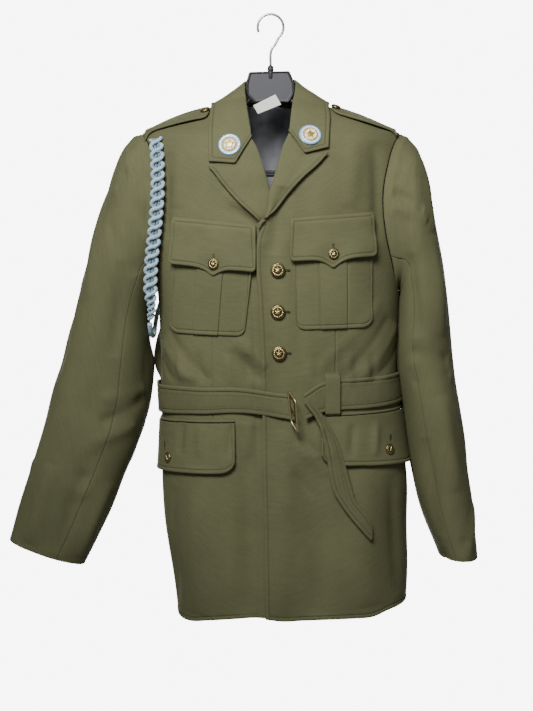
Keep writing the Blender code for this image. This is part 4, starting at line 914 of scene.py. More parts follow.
def front_panel(name, side):
    """One front, with its dart, from its edge to the side seam, armhole and shoulder seam."""
    edge_x = LEFT_EDGE_X if side > 0 else RIGHT_EDGE_X
    lift = lift_left if side > 0 else lift_right
    dart_x = DART_LEFT if side > 0 else DART_RIGHT
    inner = spaced(80, CLOTH_STEP, "stitched", "seam") * 0.46
    outer = 0.46 + 0.54 * spaced(100, CLOTH_STEP, "seam", "seam")[1:]
    shares = np.concatenate([inner, outer])
    fold = len(inner) - 1
    heights = panel_rows()
    rows = []
    for z in heights:
        tucked = 2.2 * side * float(eased(-332, -314, z))
        start, end = float(angle_of(edge_x(z) + tucked, z)), outer_angle(z, side)
        even = to_side(start, end, side, z, shares)
        dart = float(angle_of(dart_x, z))
        first = at_shares(start, dart, z, inner / inner[-1])
        second = to_side(dart, end, side, z, (outer - inner[-1]) / (1 - inner[-1]))
        follow = float(1 - eased(-300, -225, z))
        rows.append(even * (1 - follow) + np.concatenate([first, second]) * follow)
    angles = np.array(rows)
    z = np.repeat(heights[:, None], len(shares), axis=1)
    z = hem_shift(skin(angles, z), z, heights)
    x = skin(angles, z)[..., 0]
    points = layer(angles, z, lift(x, z))
    across = lengths(points, 1)
    beside = np.abs(across - across[:, fold : fold + 1])
    shown = eased(DART_LOW - 14, DART_LOW, z) * (1 - eased(DART_TOP, DART_TOP + 14, z))
    groove = (0.35 * np.exp(-((beside / 6) ** 2)) - 1.25 * np.exp(-((beside / 1.0) ** 2))) * shown
    below = 1 - eased(-345, -322, z)
    if side > 0:
        groove += 3.2 * np.exp(-((across / 11) ** 2)) * below
    else:
        groove -= 4.0 * np.exp(-(((LEFT_EDGE_X(z) - x - 4) / 7) ** 2)) * below
    return shell(name, points, outward(angles, z), extra=groove,
        edges=("stitched", "seam", "plain", "stitched"), lined_from=78.0)


def back_panel(name, side):
    """One back, from the centre seam to the side seam, armhole and shoulder seam."""
    shares = spaced(185, CLOTH_STEP, "seam", "seam")
    heights = panel_rows()
    rows = []
    for z in heights:
        dip = float(np.clip((NECK_Z - z) / 9.0, 0, 1))
        neck_x = side * 45.0 * math.sqrt(1 - dip)
        start = float(angle_of(neck_x + dip * section_at(z)[0], z, back=True))
        start = start if side > 0 else start - 2 * math.pi
        rows.append(to_side(start, outer_angle(z, side, back=True), side, z, shares))
    angles = np.array(rows)
    z = np.repeat(heights[:, None], len(shares), axis=1)
    z = hem_shift(skin(angles, z), z, heights, back=True)
    return shell(name, layer(angles, z), outward(angles, z), edges=("seam", "seam", "plain", "stitched"),
        lined_from=6.0)


# Creases of the sleeves, at the inside of the elbow and under the sleeve head
SLEEVE_FOLDS = {
    1: (
        (-1, 174, -262, 222, -286, 6, -2.6), (-1, 176, -278, 226, -300, 7, 2.2),
        (-1, 200, -304, 236, -270, 8, -1.6), (-1, 218, -205, 238, -320, 12, 1.8),
        (-1, 236, -320, 250, -470, 14, 2.2), (-1, 200, -350, 214, -470, 12, -2.4),
        (-1, 203, -486, 262, -508, 9, -3), (-1, 205, -508, 268, -530, 9, 2.6),
        (-1, 209, -542, 262, -526, 8, -2.2), (-1, 250, -560, 274, -700, 13, 2.4),
        (-1, 226, -620, 250, -760, 12, -2), (-1, 288, -768, 256, -808, 8, -2.6),
        (-1, 300, -720, 284, -800, 9, 2), (1, 200, -300, 240, -340, 12, -2.4),
        (1, 205, -500, 262, -480, 10, -3), (1, 208, -524, 266, -512, 9, 2.6),
        (1, 240, -560, 276, -720, 14, 2.4), (1, 180, -250, 226, -236, 10, -1.8),
        (1, 230, -360, 236, -470, 12, -2),
    ),
    -1: (
        (-1, -206, -192, -168, -252, 6, -2.6), (-1, -214, -226, -170, -300, 8, -3.2),
        (-1, -226, -250, -176, -330, 8, 2.8), (-1, -236, -300, -196, -380, 9, -2),
        (-1, -250, -260, -268, -420, 15, 2), (-1, -214, -360, -226, -500, 13, -2.2),
        (-1, -186, -546, -246, -566, 9, 2.6), (-1, -190, -566, -252, -598, 9, -3.4),
        (-1, -200, -600, -262, -626, 10, 2.2), (-1, -358, -644, -264, -684, 8, -3.4),
        (-1, -358, -662, -268, -704, 12, 3.4), (-1, -300, -400, -318, -540, 14, -1.8),
        (-1, -262, -640, -316, -790, 15, -2.6), (-1, -320, -660, -356, -780, 14, 2.6),
        (-1, -236, -690, -284, -800, 11, 1.8), (1, -214, -236, -172, -260, 10, -2),
        (1, -188, -560, -250, -540, 10, -3), (1, -196, -590, -262, -574, 10, 2.6),
        (1, -300, -560, -346, -740, 15, 2.6), (1, -226, -330, -236, -480, 13, -2.2),
    ),
}


def sleeve_rings(turns, side):
    """Rings of the sleeve at the armhole and at each station, one column per turn."""
    table = LEFT_SLEEVE if side > 0 else RIGHT_SLEEVE
    rows = [armhole_ring(turns[0], side)]
    for row, turn in zip(table, turns[1:]):
        outer_x, outer_z, inner_x, inner_z, middle_y, half_depth = row
        across, depth = round_share(turn, SLEEVE_POWER)
        x = (outer_x + inner_x) / 2 + (outer_x - inner_x) / 2 * across
        z = (outer_z + inner_z) / 2 + (outer_z - inner_z) / 2 * across
        if side < 0:
            behind = np.clip(-across, 0, 1) * np.clip(0.35 - depth, 0, 1)
            x = x + 17 * behind * eased(-476, -514, z) * eased(-612, -562, z)
        rows.append(np.stack([x, middle_y - half_depth * depth, z], axis=-1))
    return np.array(rows)


def sleeve_points(side, starts, ends, shares, along):
    """Grid of the sleeve between two turns per station, and the middle of each of its rows."""
    turns = np.radians(starts[:, None] + (ends - starts)[:, None] * shares[None, :])
    stations = np.arange(len(starts), dtype=float)
    around = np.radians(np.linspace(0, 360, 25)[:-1])
    whole = sleeve_rings(np.repeat(around[None], len(starts), axis=0), side)
    points = smooth(stations, sleeve_rings(turns, side), along * stations[-1])
    return points, smooth(stations, whole.mean(axis=1), along * stations[-1])[:, None]


def sleeve_half(name, side, top):
    """Top or under sleeve, between the front and back seams."""
    count = len(LEFT_SLEEVE) + 1
    front, back = np.linspace(*FRONT_SEAM_DEG, count), np.linspace(*BACK_SEAM_DEG, count)
    starts, ends = (back, front) if top else (front, back + 360)
    shares = spaced(250 if top else 120, CLOTH_STEP, "seam", "seam")
    along = spaced(640, CLOTH_STEP, "seam", "rolled")
    points, middle = sleeve_points(side, starts + SEAM_DEG, ends - SEAM_DEG, shares, along)
    facing = points - middle
    normals, _ = unit_normals(points, facing)
    coarse, centres = sleeve_points(side, np.zeros(count), np.full(count, 360.0), np.linspace(0, 1, 73),
        np.linspace(0, 1, 90))
    flat, centres = coarse.reshape(-1, 3), np.repeat(centres, 73, axis=1).reshape(-1, 3)

    def spot(face, x, z):
        wrong_side = (flat[:, 1] - centres[:, 1]) * face < 0
        away = np.hypot(flat[:, 0] - x, flat[:, 2] - z) + np.where(wrong_side, 999, 0)
        return flat[np.argmin(away)]

    lines = [(spot(f, x, z), spot(f, end_x, end_z), width, rise) for f, x, z, end_x, end_z, width,
        rise in SLEEVE_FOLDS[side]]
    height = 2.3 * creased(points, lines) + drift(points * 1.3)
    height += 1.6 * np.exp(-(((lengths(points, 0) - 9) / 7) ** 2)) * top
    height *= eased(0, 14, lengths(points, 0))
    points = points + normals * height[..., None]
    return shell(name, points, facing, edges=("seam", "seam", "seam", "rolled"), lined_from=0.0,
        seam_share=0.45)


def rolled_under(points, facing, radius, steps=7, reach=150.0):
    """Adds columns before the first one, where the cloth turns under in a round fold."""
    normals, _ = unit_normals(points, facing)
    edge, normal = points[:, 0], normals[:, 0]
    ahead = edge - points[:, 2]
    ahead /= np.linalg.norm(ahead, axis=-1, keepdims=True)
    bends = np.radians(np.linspace(reach, 0, steps + 1)[:-1])
    extra = [edge + ahead * radius * np.sin(a) - normal * radius * (1 - np.cos(a)) for a in bends]
    return np.concatenate([np.stack(extra, axis=1), points], axis=1)


def three_point_grid(table, rows, shares, sharp):
    """Grid whose rows run through three points read from a table, in a smooth bend. Where
    sharp is 1 a row is straight on both sides of its middle point."""
    stations = np.arange(len(table), dtype=float)
    values = smooth(stations, np.array(table, float), rows)
    size = values.shape[1] // 3
    ends = [values[:, None, size * k : size * (k + 1)] for k in range(3)]
    knee = 0.45
    t = np.asarray(shares)[None, :, None]
    first = (t - knee) * (t - 1) / knee
    second = t * (t - 1) / (knee * (knee - 1))
    third = t * (t - knee) / (1 - knee)
    straight = ends[0] * (1 - t) + ends[2] * t
    bent = 0.75 * (ends[0] * first + ends[1] * second + ends[2] * third) + 0.25 * straight
    near, far = np.clip(t / knee, 0, 1), np.clip((t - knee) / (1 - knee), 0, 1)
    cornered = ends[0] * (1 - near) + ends[1] * (near - far) + ends[2] * far
    part = np.asarray(sharp)[:, None, None]
    return bent * (1 - part) + cornered * part


def lapel(name, side):
    """Facing turned out over the front in a soft roll, from the roll line to its edge."""
    table = LEFT_LAPEL if side > 0 else RIGHT_LAPEL
    shares = spaced(68, 2.4, "plain", "stitched")
    rows = (1 - spaced(140, 2.4, "rolled", "rolled")) * (len(table) - 1)
    up = (rows / (len(table) - 1))[:, None]
    flat = three_point_grid(table, rows, shares, eased(0.75, 0.93, up[:, 0]))
    rise = 4.2 * np.sin(math.pi * shares[None, :] ** 0.8) * np.sin(math.pi * up**0.8)
    lift = LAP + CHORD * 0.6 + rise + 4.0 * eased(0.5, 1, shares) * eased(0.04, 0.2, up)
    points = on_front(flat[..., 0], flat[..., 1], lift, side)
    points = rolled_under(points, FORWARD, 0.3 + 1.9 * eased(0, 0.12, up))
    return shell(name, points, FORWARD, edges=("plain", "stitched", "rolled", "rolled"))


def collar_points(around, across):
    """Outside of the collar fall, kept clear of the coat, from the fold to the edge."""
    rows = around * (len(collar_rows()) - 1)
    sharp = 1 - eased(0.02, 0.09, np.minimum(around, 1 - around))
    points = three_point_grid(collar_rows(), rows, across, sharp)
    return clear_of_coat(points, LAP + CHORD)


def collar_facing(points):
    """Directions that point away from the neck."""
    return points - np.array([0.0, 5.0, -260.0])


def collar_fall(name):
    """Collar turned down over the neck seam, with a round fold at its top."""
    around = spaced(520, 2.6, "stitched", "stitched")
    across = spaced(58, 2.4, "plain", "stitched")
    points = collar_points(around, across)
    facing = collar_facing(points)
    normals, _ = unit_normals(points, facing)
    puff = 2.0 * np.sin(math.pi * across)[None, :] * np.sin(math.pi * around)[:, None] ** 0.3
    puff = puff + 1.8 * eased(0.6, 1, across)
    points = points + normals * (puff + 0.5 * drift(points * 1.6))[..., None]
    points = rolled_under(points, facing, 2.6)
    return shell(name, points, collar_facing(points), wall=DOUBLE_CLOTH,
        edges=("plain", "stitched", "stitched", "stitched"))


def collar_stand(name):
    """Inside of the collar, from the fold down to the neck seam."""
    rows = collar_rows()[2:-2]
    around = spaced(330, 3.0, "rolled", "rolled")
    fold = smooth(np.arange(len(rows)), np.array(rows)[:, :3], around * (len(rows) - 1))
    inward = np.array([0.0, 14.0, 0.0]) - fold
    inward[:, 2] = 0
    inward /= np.linalg.norm(inward, axis=1, keepdims=True)
    top = fold + inward * LAP + np.array([0, 0, -0.6])
    height = 6 + 27 * np.sin(around * math.pi) ** 0.7
    base = top - inward * (height * 0.10)[:, None] - np.array([0, 0, 1.0]) * height[:, None]
    down = spaced(30, 2.5, "plain", "rolled")
    points = top[:, None] + (base - top)[:, None] * down[None, :, None]
    return shell(name, points, inward[:, None], wall=1.4, edges=("plain", "rolled", "rolled", "rolled"))


def breast_patch(name, values, side):
    """Patch pocket with a box pleat down its middle and stitched edges."""
    (top_left, top_right, low_left, low_right, top_z, low_left_z, low_right_z, pleat_left,
        pleat_right) = values
    width = low_right - low_left
    pleats = [(pleat_left - top_left) / (top_right - top_left),
        (pleat_right - top_left) / (top_right - top_left)]
    first = spaced(pleats[0] * width, 2.6, "stitched", "rolled") * pleats[0]
    inner = spaced((pleats[1] - pleats[0]) * width, 2.4, "rolled", "rolled")
    inner = pleats[0] + inner * (pleats[1] - pleats[0])
    last = spaced((1 - pleats[1]) * width, 2.6, "rolled", "stitched")
    last = pleats[1] + last * (1 - pleats[1])
    share = np.concatenate([first, inner[1:], last[1:]])
    down = spaced(top_z - low_left_z, 2.6, "plain", "stitched")[:, None]
    x = (top_left + (top_right - top_left) * share) * (1 - down) + (low_left + width * share) * down
    side_distance = np.minimum(share, 1 - share) * width
    low = low_left_z + (low_right_z - low_left_z) * share + rounded(side_distance, PATCH_CORNER)
    z = top_z + (low - top_z) * down
    middle = (share - (pleats[0] + pleats[1]) / 2) * width
    half = (pleats[1] - pleats[0]) / 2 * width
    raised = 1 - eased(half - 0.5, half + 0.3, np.abs(middle))
    crease = np.exp(-(((np.abs(middle) - half - 0.9) / 0.7) ** 2))
    pleat = (PLEAT_RISE * raised - 0.7 * crease)[None, :] + 0 * z
    pleat += 1.1 * np.exp(-((middle / half) ** 2))[None, :] * np.sin(math.pi * down)
    bag = 1.6 * np.sin(math.pi * share)[None, :] * np.sin(math.pi * down) ** 0.8
    points = on_front(x, z, LAP + 0.2 + bag, side)
    return shell(name, points, FORWARD, extra=pleat, edges=("stitched", "stitched", "plain", "stitched"))


def breast_flap(name, values, side, button):
    """Pointed pocket flap, sewn above the patch, pulled in under its button."""
    left, right, top_left, top_right, low_left, point, low_right = values
    share = spaced(right - left, 2.5, "stitched", "stitched")
    x = (left + (right - left) * share)[None, :]
    top = top_left + (top_right - top_left) * share
    edge = low_left + (low_right - low_left) * share
    dip = 1.2 * (point - (low_left + low_right) / 2) * np.exp(-((np.abs(2 * share - 1) / 0.2) ** 1.35))
    low = edge + dip + rounded(np.minimum(share, 1 - share) * (right - left), FLAP_CORNER)
    down = spaced(66, 2.5, "stitched", "stitched")[:, None]
    z = top + (low - top) * down
    rise = DOUBLE_CLOTH + SEAM + CHORD + (CLOTH + SEAM + PLEAT_RISE) * eased(0, 0.16, down)
    away = np.hypot(x - button[0], z - button[1])
    rise = rise + 3.6 * eased(0.35, 1, down) * (1 - np.exp(-((away / 17) ** 2)))
    rise = rise + 0.9 * np.sin(3 * math.pi * share + 0.7)[None, :] * eased(0.6, 1, down)
    points = on_front(x + 0 * z, z, rise, side)
    return shell(name, points, FORWARD, wall=DOUBLE_CLOTH, edges=("stitched",) * 4)


def hip_points(values, side, z, share, lift):
    """Grid over the hip, from the front end of the flap round past the side seam."""
    front_x, past = values[:2]
    heights = np.linspace(z.max(), z.min(), 12)
    rows = []
    for height in heights:
        start = float(angle_of(front_x, height))
        quarter = side * math.pi / 2
        beyond = quarter + np.linspace(0, side * 1.2, 121)
        along = travelled(skin(beyond, height))
        end = float(np.interp(past, along, beyond))
        rows.append(at_shares(start, end, height, share))
    level = (z - heights[0]) / (heights[-1] - heights[0]) * (len(heights) - 1)
    low = np.clip(level.astype(int), 0, len(heights) - 2)
    part = level - low
    rows = np.array(rows)
    column = np.arange(len(share))[None, :] + 0 * low
    angles = rows[low, column] * (1 - part) + rows[low + 1, column] * part
    return layer(angles, z, lift), outward(angles, z)


def hip_flap(name, values, side):
    """Lower pocket flap that goes round the side."""
    _, _, top_front, top_side, low_front, low_side = values
    width = 150.0
    share = spaced(width, 2.6, "stitched", "stitched")
    top = top_front + (top_side - top_front) * share
    low = low_front + (low_side - low_front) * share
    low = low + rounded(np.minimum(share, 1 - share) * width, HIP_CORNER)
    down = spaced(72, 2.6, "plain", "stitched")[:, None]
    z = top + (low - top) * down
    lift = DOUBLE_CLOTH + 4 * SEAM + 3.6 * down**1.5 + 0.8 * np.sin(7 * share + 1)[None, :] * down
    points, facing = hip_points(values, side, z, share, lift)
    return shell(name, points, facing, wall=DOUBLE_CLOTH, edges=("stitched", "stitched", "plain",
        "stitched"))


def jet(name, values, side):
    """Narrow strip that finishes the pocket mouth above the lower flap."""
    _, _, top_front, top_side, _, _ = values
    share = spaced(150, 3.0, "rolled", "rolled")
    low = top_front + (top_side - top_front) * share + JET_GAP
    z = low + JET_HEIGHT * (1 - spaced(JET_HEIGHT, 0.8)[:, None])
    points, facing = hip_points(values, side, z, share, LAP + 0 * z)
    return shell(name, points, facing, wall=1.5, edges=("rolled",) * 4)


def belt(name):
    """Belt round the waist, from the buckle round the back to the buckle again."""
    top, low, lift = (curve(BELT, BELT_COLUMNS, key) for key in BELT_COLUMNS[1:])
    around = spaced(1060, 3.0, "rolled", "rolled")
    even = np.linspace(3.4, -353, 721)
    line = layer(np.radians(even), (top(even) + low(even)) / 2, lift(even))
    along = travelled(line)
    degrees = np.interp(around * along[-1], along, even)
    down = spaced(44, 2.6, "stitched", "stitched")[None, :]
    z = top(degrees)[:, None] + (low(degrees) - top(degrees))[:, None] * down
    angles = np.radians(degrees)[:, None] + 0 * z
    bulge = 0.7 * np.sin(math.pi * down) + 0.5 * np.sin(np.radians(degrees)[:, None] * 9)
    tilt = 4.2 * (1 - down) * (eased(-100, -70, degrees) * (1 - eased(-8, 2, degrees)))[:, None]
    points = layer(angles, z, lift(degrees)[:, None] + bulge + tilt)
    return shell(name, points, outward(angles, z), wall=DOUBLE_CLOTH,
        edges=("stitched", "stitched", "rolled", "rolled"))


TAIL_ROWS_OF_STITCHES = (6.0, 12.0, 18.0)


def belt_tail(name):
    """Loose end of the belt, hanging from the buckle, with its rows of stitching."""
    rows = spaced(250, 2.6, "rolled", "rolled") * (len(TAIL) - 1)
    values = smooth(np.arange(len(TAIL)), np.array(TAIL), rows)
    share = spaced(42, 1.6, "stitched", "stitched")
    first, last = values[:, None, :3], values[:, None, 3:]
    x, z, lift = np.moveaxis(first + (last - first) * share[None, :, None], -1, 0)
    lift = lift + 1.4 * np.sin(math.pi * share)[None, :]
    points = layer(angle_of(x, z), z, lift)
    beside = np.minimum(share, 1 - share) * 42
    rows_of = sum(np.exp(-(((beside - at) / 0.7) ** 2)) for at in TAIL_ROWS_OF_STITCHES[1:])
    return shell(name, points, FORWARD, wall=DOUBLE_CLOTH, extra=-0.35 * rows_of[None, :] + 0 * x,
        edges=("stitched", "stitched", "rolled", "rolled"))


def belt_keeper(name):
    """Loop of the coat that the belt passes under, sewn down above and below it."""
    x = (KEEPER_X + KEEPER_WIDTH * spaced(KEEPER_WIDTH, 2.0, "rolled", "rolled"))[None, :]
    z_rows = (KEEPER_TOP + 5, KEEPER_TOP + 2, KEEPER_TOP, KEEPER_TOP - 8, (KEEPER_TOP + KEEPER_LOW) / 2,
        KEEPER_LOW + 5, KEEPER_LOW + 1, KEEPER_LOW - 2)
    lifts = (2.4, 3.0, 6.6, 8.2, 8.2, 8.2, 6.6, 2.4)
    at = np.linspace(0, 7, 60)
    z = smooth(np.arange(8), z_rows, at)[:, None] + 0 * x
    lift = smooth(np.arange(8), lifts, at)[:, None] + 0 * x
    points = layer(angle_of(x + 0 * z, z), z, lift + 0.4)
    return shell(name, points, FORWARD, wall=1.8, edges=("rolled",) * 4)


def shoulder_strap(name, side):
    """Strap along the shoulder seam, standing a little off it, rounded by the collar."""
    half_width = curve(STRAP, STRAP_COLUMNS, "half width")
    along = 88.5 + 93.5 * spaced(94, 2.4, "rolled", "plain")
    across = 2 * spaced(44, 2.2, "stitched", "stitched") - 1
    x = side * along[:, None] + 0 * across
    y = strap_middle(side, along)[:, None] + across[None, :] * half_width(along)[:, None]
    y = y - (6.0 if side < 0 else 2.0) * (eased(130, 182, along)[:, None] * (across < 0) * across**2)
    off = np.sin(math.pi * np.clip((along - 88.5) / 93.5, 0, 1))[:, None]
    lift = STRAP_STAND + 2.6 * off * (0.6 + 0.4 * across[None, :] ** 2)
    points = top_of_coat(x, y, lift)
    return shell(name, points, np.array([0.0, 0.0, 1.0]), wall=DOUBLE_CLOTH,
        edges=("stitched", "stitched", "rolled", "plain"))


# Loose folds of the lining: x and z of both ends, width and rise
LINING_FOLDS = (
    (14, -150, -2, -262, 6.5, 9.0), (-14, -160, 22, -285, 7.0, 8.0), (-26, -150, -12, -300, 6.0, 7.0),
)


def back_lining(name):
    """Satin inside the back, with the loose folds that show through the neck."""
    z = np.interp(spaced(715, 3.4), (0, 1), (LINING_TOP, LINING_LOW))
    share = np.linspace(-1, 1, 96)
    reach = LINING_REACH * (1 - 0.2 * eased(-205, -165, z))[:, None]
    angles = math.pi - reach * share[None, :]
    z = z[:, None] + 0 * angles
    base = skin(angles, z)
    x = base[..., 0]
    base[..., 2] += 13 * eased(-185, -131, z) * (1 - eased(34, 50, np.abs(x)))
    folds = 2.6 * np.sin(x / 9.5 + 2.2 * np.sin(z / 33 + 0.6) + z / 60)
    folds = folds + 2.0 * np.sin(x / 16 - z / 24 + 1.2)
    for start_x, start_z, end_x, end_z, wide, rise in LINING_FOLDS:
        share = np.clip((start_z - z) / (start_z - end_z), 0, 1)
        away = (x - start_x - (end_x - start_x) * share**1.4) / wide
        folds = folds + rise * np.exp(-(away**2)) * (4 * share * (1 - share)) ** 0.5
    inside = np.maximum(LINING_EASE + folds * 0.8, 2.2 - relief(skin(angles, z)))
    inside += 5 * eased(-185, -140, z)
    base = base - outward(angles, z) * (CLOTH + inside)[..., None]
    return shell(name, base, -outward(angles, z), wall=0.8, edges=("rolled",) * 4, look=SATIN)


def neck_label(name):
    """Blank woven label that hangs over the front of the hanger plate."""
    first, second, third, fourth = (np.array(corner) for corner in LABEL)
    along = spaced(36, 0.9, "rolled", "rolled")[None, :, None]
    down = spaced(16, 0.9, "rolled", "rolled")[:, None, None]
    points = (first * (1 - along) + second * along) * (1 - down) + (fourth * (1 - along) + third
        * along) * down
    points[..., 1] -= 0.8 * np.sin(math.pi * along[..., 0]) + 0.6 * down[..., 0]
    return shell(name, points, FORWARD, wall=0.7, edges=("rolled",) * 4, look=TAPE)


# ---- materials


def linear(value):
    """Linear colour of an sRGB hex value such as "#5c5b3d"."""
    shares = [int(value[k : k + 2], 16) / 255 for k in (1, 3, 5)]
    return tuple(s / 12.92 if s <= 0.04045 else ((s + 0.055) / 1.055) ** 2.4 for s in shares)


def add_node(tree, kind, inputs=None, **settings):
    """Adds a node with its settings, its input values and its links."""
    made = tree.nodes.new(kind)
    for key, value in settings.items():
        setattr(made, key, value)
    fill(made, inputs or {})
    return made


def fill(node, values):
    """Sets or links a node's own sockets."""
    for key, value in values.items():
        if isinstance(value, bpy.types.NodeSocket):
            node.id_data.links.new(value, node.inputs[key])
        else:
            node.inputs[key].default_value = value


def set_shader(shader, **values):
    """Fills the shader's sockets, which are named with underscores for spaces."""
    fill(shader, {key.replace("_", " "): value for key, value in values.items()})


def make_material(name, build, *settings):
    """Makes a named material and lets build fill its node tree."""
    made = bpy.data.materials.new(name)
    made.use_nodes = True
    build(made.node_tree, made.node_tree.nodes["Principled BSDF"], *settings)


def mixed(tree, share, first, second):
    """Colour between two others by a share."""
    colours = [each if isinstance(each, bpy.types.NodeSocket) else (*each, 1.0)
        for each in (first, second)]
    return add_node(tree, "ShaderNodeMix", {0: share, 6: colours[0], 7: colours[1]},
        data_type="RGBA").outputs[2]


def between_values(tree, value, low, high, to_low=0.0, to_high=1.0):
    """Value mapped from one range to another, and kept inside it."""
    return add_node(tree, "ShaderNodeMapRange", {"Value": value, "From Min": low, "From Max": high,
        "To Min": to_low, "To Max": to_high}).outputs["Result"]


def plus(tree, first, second, clamp=True):
    """Sum of two values."""
    return add_node(tree, "ShaderNodeMath", {0: first, 1: second}, operation="ADD",
        use_clamp=clamp).outputs[0]


def stored(tree, name, output="Fac"):
    """Values that the mesh carries on its points."""
    return add_node(tree, "ShaderNodeAttribute", attribute_name=name).outputs[output]


def along_cloth(tree):
    """Metres across and down the piece of cloth."""
    return stored(tree, "weft", "Vector")


def in_place(tree):
    """Place in the object."""
    return add_node(tree, "ShaderNodeTexCoord").outputs["Object"]


def drawn(tree, vector, scale=(1.0, 1.0, 1.0), degrees=0):
    """Place drawn out, or turned about its third axis."""
    return add_node(tree, "ShaderNodeMapping", {"Vector": vector, "Scale": scale,
        "Rotation": (0, 0, math.radians(degrees))}).outputs[0]


def noise(tree, vector, size, detail, **more):
    """Noise whose spots are this many millimetres across."""
    return add_node(tree, "ShaderNodeTexNoise", {"Vector": vector, "Scale": 1 / (size * MM),
        "Detail": detail, **more}).outputs["Fac"]


def ribs(tree, vector, period, **more):
    """Soft ribs that stand this many millimetres apart."""
    return add_node(tree, "ShaderNodeTexWave", {"Vector": vector,
        "Scale": 2 * math.pi / (20 * period * MM), **more}, wave_type="BANDS", bands_direction="X",
        wave_profile="SIN").outputs["Fac"]


def bump(tree, height, strength, depth):
    """Normal of a surface with this relief, its depth in millimetres."""
    return add_node(tree, "ShaderNodeBump", {"Height": height, "Strength": strength,
        "Distance": depth * MM}).outputs[0]


def wool_serge(tree, shader, cloth):
    """Wool serge: a steep twill of soft yarns. The eye gets fine diagonals, a dull nap that
    lightens towards the edges of folds, melange flecks and slow patches of wear. Seam valleys
    and stitching lines are darkened as painted shade."""
    dark, light = tuple(cloth.dark), tuple(cloth.light)
    weft = along_cloth(tree)
    lines = ribs(tree, drawn(tree, weft, degrees=62), cloth.twill,
        **{"Distortion": 1.2, "Detail": 2.0, "Detail Scale": 2.0})
    fleck = noise(tree, weft, 2.4, 3.0, Roughness=0.7)
    slub = noise(tree, drawn(tree, weft, (0.25, 1.0, 1.0)), 5, 2.0)
    patch = noise(tree, in_place(tree), 90, 3.0, Roughness=0.55)
    share = plus(tree, between_values(tree, lines, 0, 1, -cloth.contrast, cloth.contrast),
        between_values(tree, fleck, 0.3, 0.7, 0.40, 0.60), False)
    share = plus(tree, share, between_values(tree, patch, 0.3, 0.7, -0.12, 0.12), False)
    share = plus(tree, share, between_values(tree, slub, 0.3, 0.7, -0.06, 0.06))
    # Painted shade: the deep value darkens the colour towards a third of the dark yarn.
    shade = between_values(tree, stored(tree, "deep"), 0, 1, 0.0, 0.42)
    set_shader(shader, Base_Color=mixed(tree, shade, mixed(tree, share, dark, light),
        tuple(c * 0.35 for c in dark)), Roughness=between_values(tree, patch, 0.2, 0.8, 0.80, 0.90),
        Normal=bump(tree, plus(tree, lines, fleck, False), 0.55, cloth.relief), Sheen_Weight=cloth.nap,
        Sheen_Roughness=0.45, Specular_IOR_Level=0.25, IOR=1.5, Sheen_Tint=(*light, 1.0))


def satin_lining(tree, shader, cloth):
    """Acetate satin: long floats give a smooth dark face with broad soft highlights. The colours
    here are painted light grey, far lighter than the dark satin, as painted light that makes up
    for the shade inside the neck.
    """
    place = in_place(tree)
    soft = noise(tree, place, 30, 3.0)
    fine = noise(tree, drawn(tree, place, (1.0, 1.0, 0.12)), 1.2, 2.0)
    set_shader(shader, Base_Color=mixed(tree, soft, linear("#7a7b82"), tuple(cloth.lining)),
           Roughness=between_values(tree, soft, 0.3, 0.7, 0.30, 0.42),
           Normal=bump(tree, fine, 0.25, 0.15),
           Specular_IOR_Level=0.55, Sheen_Weight=0.35, Sheen_Roughness=0.35)


def gilt_brass(tree, shader, metal):
    """Antique gilt brass, struck and toned: the high spots are rubbed bright and yellow, the
    hollows keep a brown tone, and fine spots break up the shine."""
    spots = noise(tree, in_place(tree), 1.6, 4.0)
    high = plus(tree, between_values(tree, stored(tree, "worn"), 0.04, 0.55, 0, 1),
        between_values(tree, spots, 0.3, 0.7, -0.35, 0.3))
    set_shader(shader, Base_Color=mixed(tree, high, tuple(metal.hollow), tuple(metal.bright)),
        Roughness=between_values(tree, high, 0, 1, 0.46, 0.30), Normal=bump(tree, spots, 0.3, 0.12),
        Metallic=1.0)


def vitreous_enamel(tree, shader, metal):
    """Vitreous enamel, fired and polished: a glassy pale blue rim round a white band."""
    cloud = noise(tree, in_place(tree), 4, 2.0)
    blue = mixed(tree, cloud, linear("#7fb4dc"), tuple(metal.enamel))
    set_shader(shader, Base_Color=mixed(tree, stored(tree, "inner"), blue, linear("#f1f3f2")),
           Roughness=between_values(tree, cloud, 0.3, 0.7, 0.12, 0.22),
           IOR=1.5, Coat_Weight=0.4, Coat_Roughness=0.08)


def enamelled_gilt(tree, shader, metal):
    """White enamel fired round a gilt design: glassy white in the low field, and soft worn gold
    where the design stands up."""
    spots = noise(tree, in_place(tree), 1.6, 3.0)
    gold = between_values(tree, stored(tree, "worn"), 0.14, 0.26)
    field = mixed(tree, spots, linear("#d9dedd"), linear("#f3f5f4"))
    set_shader(shader, Base_Color=mixed(tree, gold, field, tuple(metal.medal)),
        Metallic=between_values(tree, gold, 0, 1, 0.0, 0.45), Roughness=between_values(tree, spots, 0.3,
        0.7, 0.22, 0.36), Coat_Weight=0.3, Coat_Roughness=0.1)


def rayon_braid(tree, shader, braid):
    """Rayon cord, laid and knotted: smooth floss strands with bright ridges. The furrows between
    the plies are painted a darker blue as painted shade, and a dark blue-grey is painted as shade
    on the core and where the strands dip under each other."""
    weft = along_cloth(tree)
    plies = ribs(tree, drawn(tree, weft, degrees=38), 1.3, Distortion=0.6, Detail=1.0)
    fleck = noise(tree, weft, 3, 3.0)
    share = plus(tree, plies, between_values(tree, fleck, 0.3, 0.7, -0.25, 0.25))
    colour = mixed(tree, share, tuple(braid.shadow), tuple(braid.colour))
    # Painted shade: the deep value darkens the core and the dipping strands towards the gaps colour.
    gap = between_values(tree, stored(tree, "deep"), 0, 1, 0, 0.8)
    set_shader(shader, Base_Color=mixed(tree, gap, colour, tuple(braid.gaps)),
        Roughness=between_values(tree, fleck, 0.3, 0.7, 0.42, 0.58), Normal=bump(tree, plies, 0.6, 0.35),
        Sheen_Weight=0.3, Sheen_Roughness=0.4, Specular_IOR_Level=0.4)


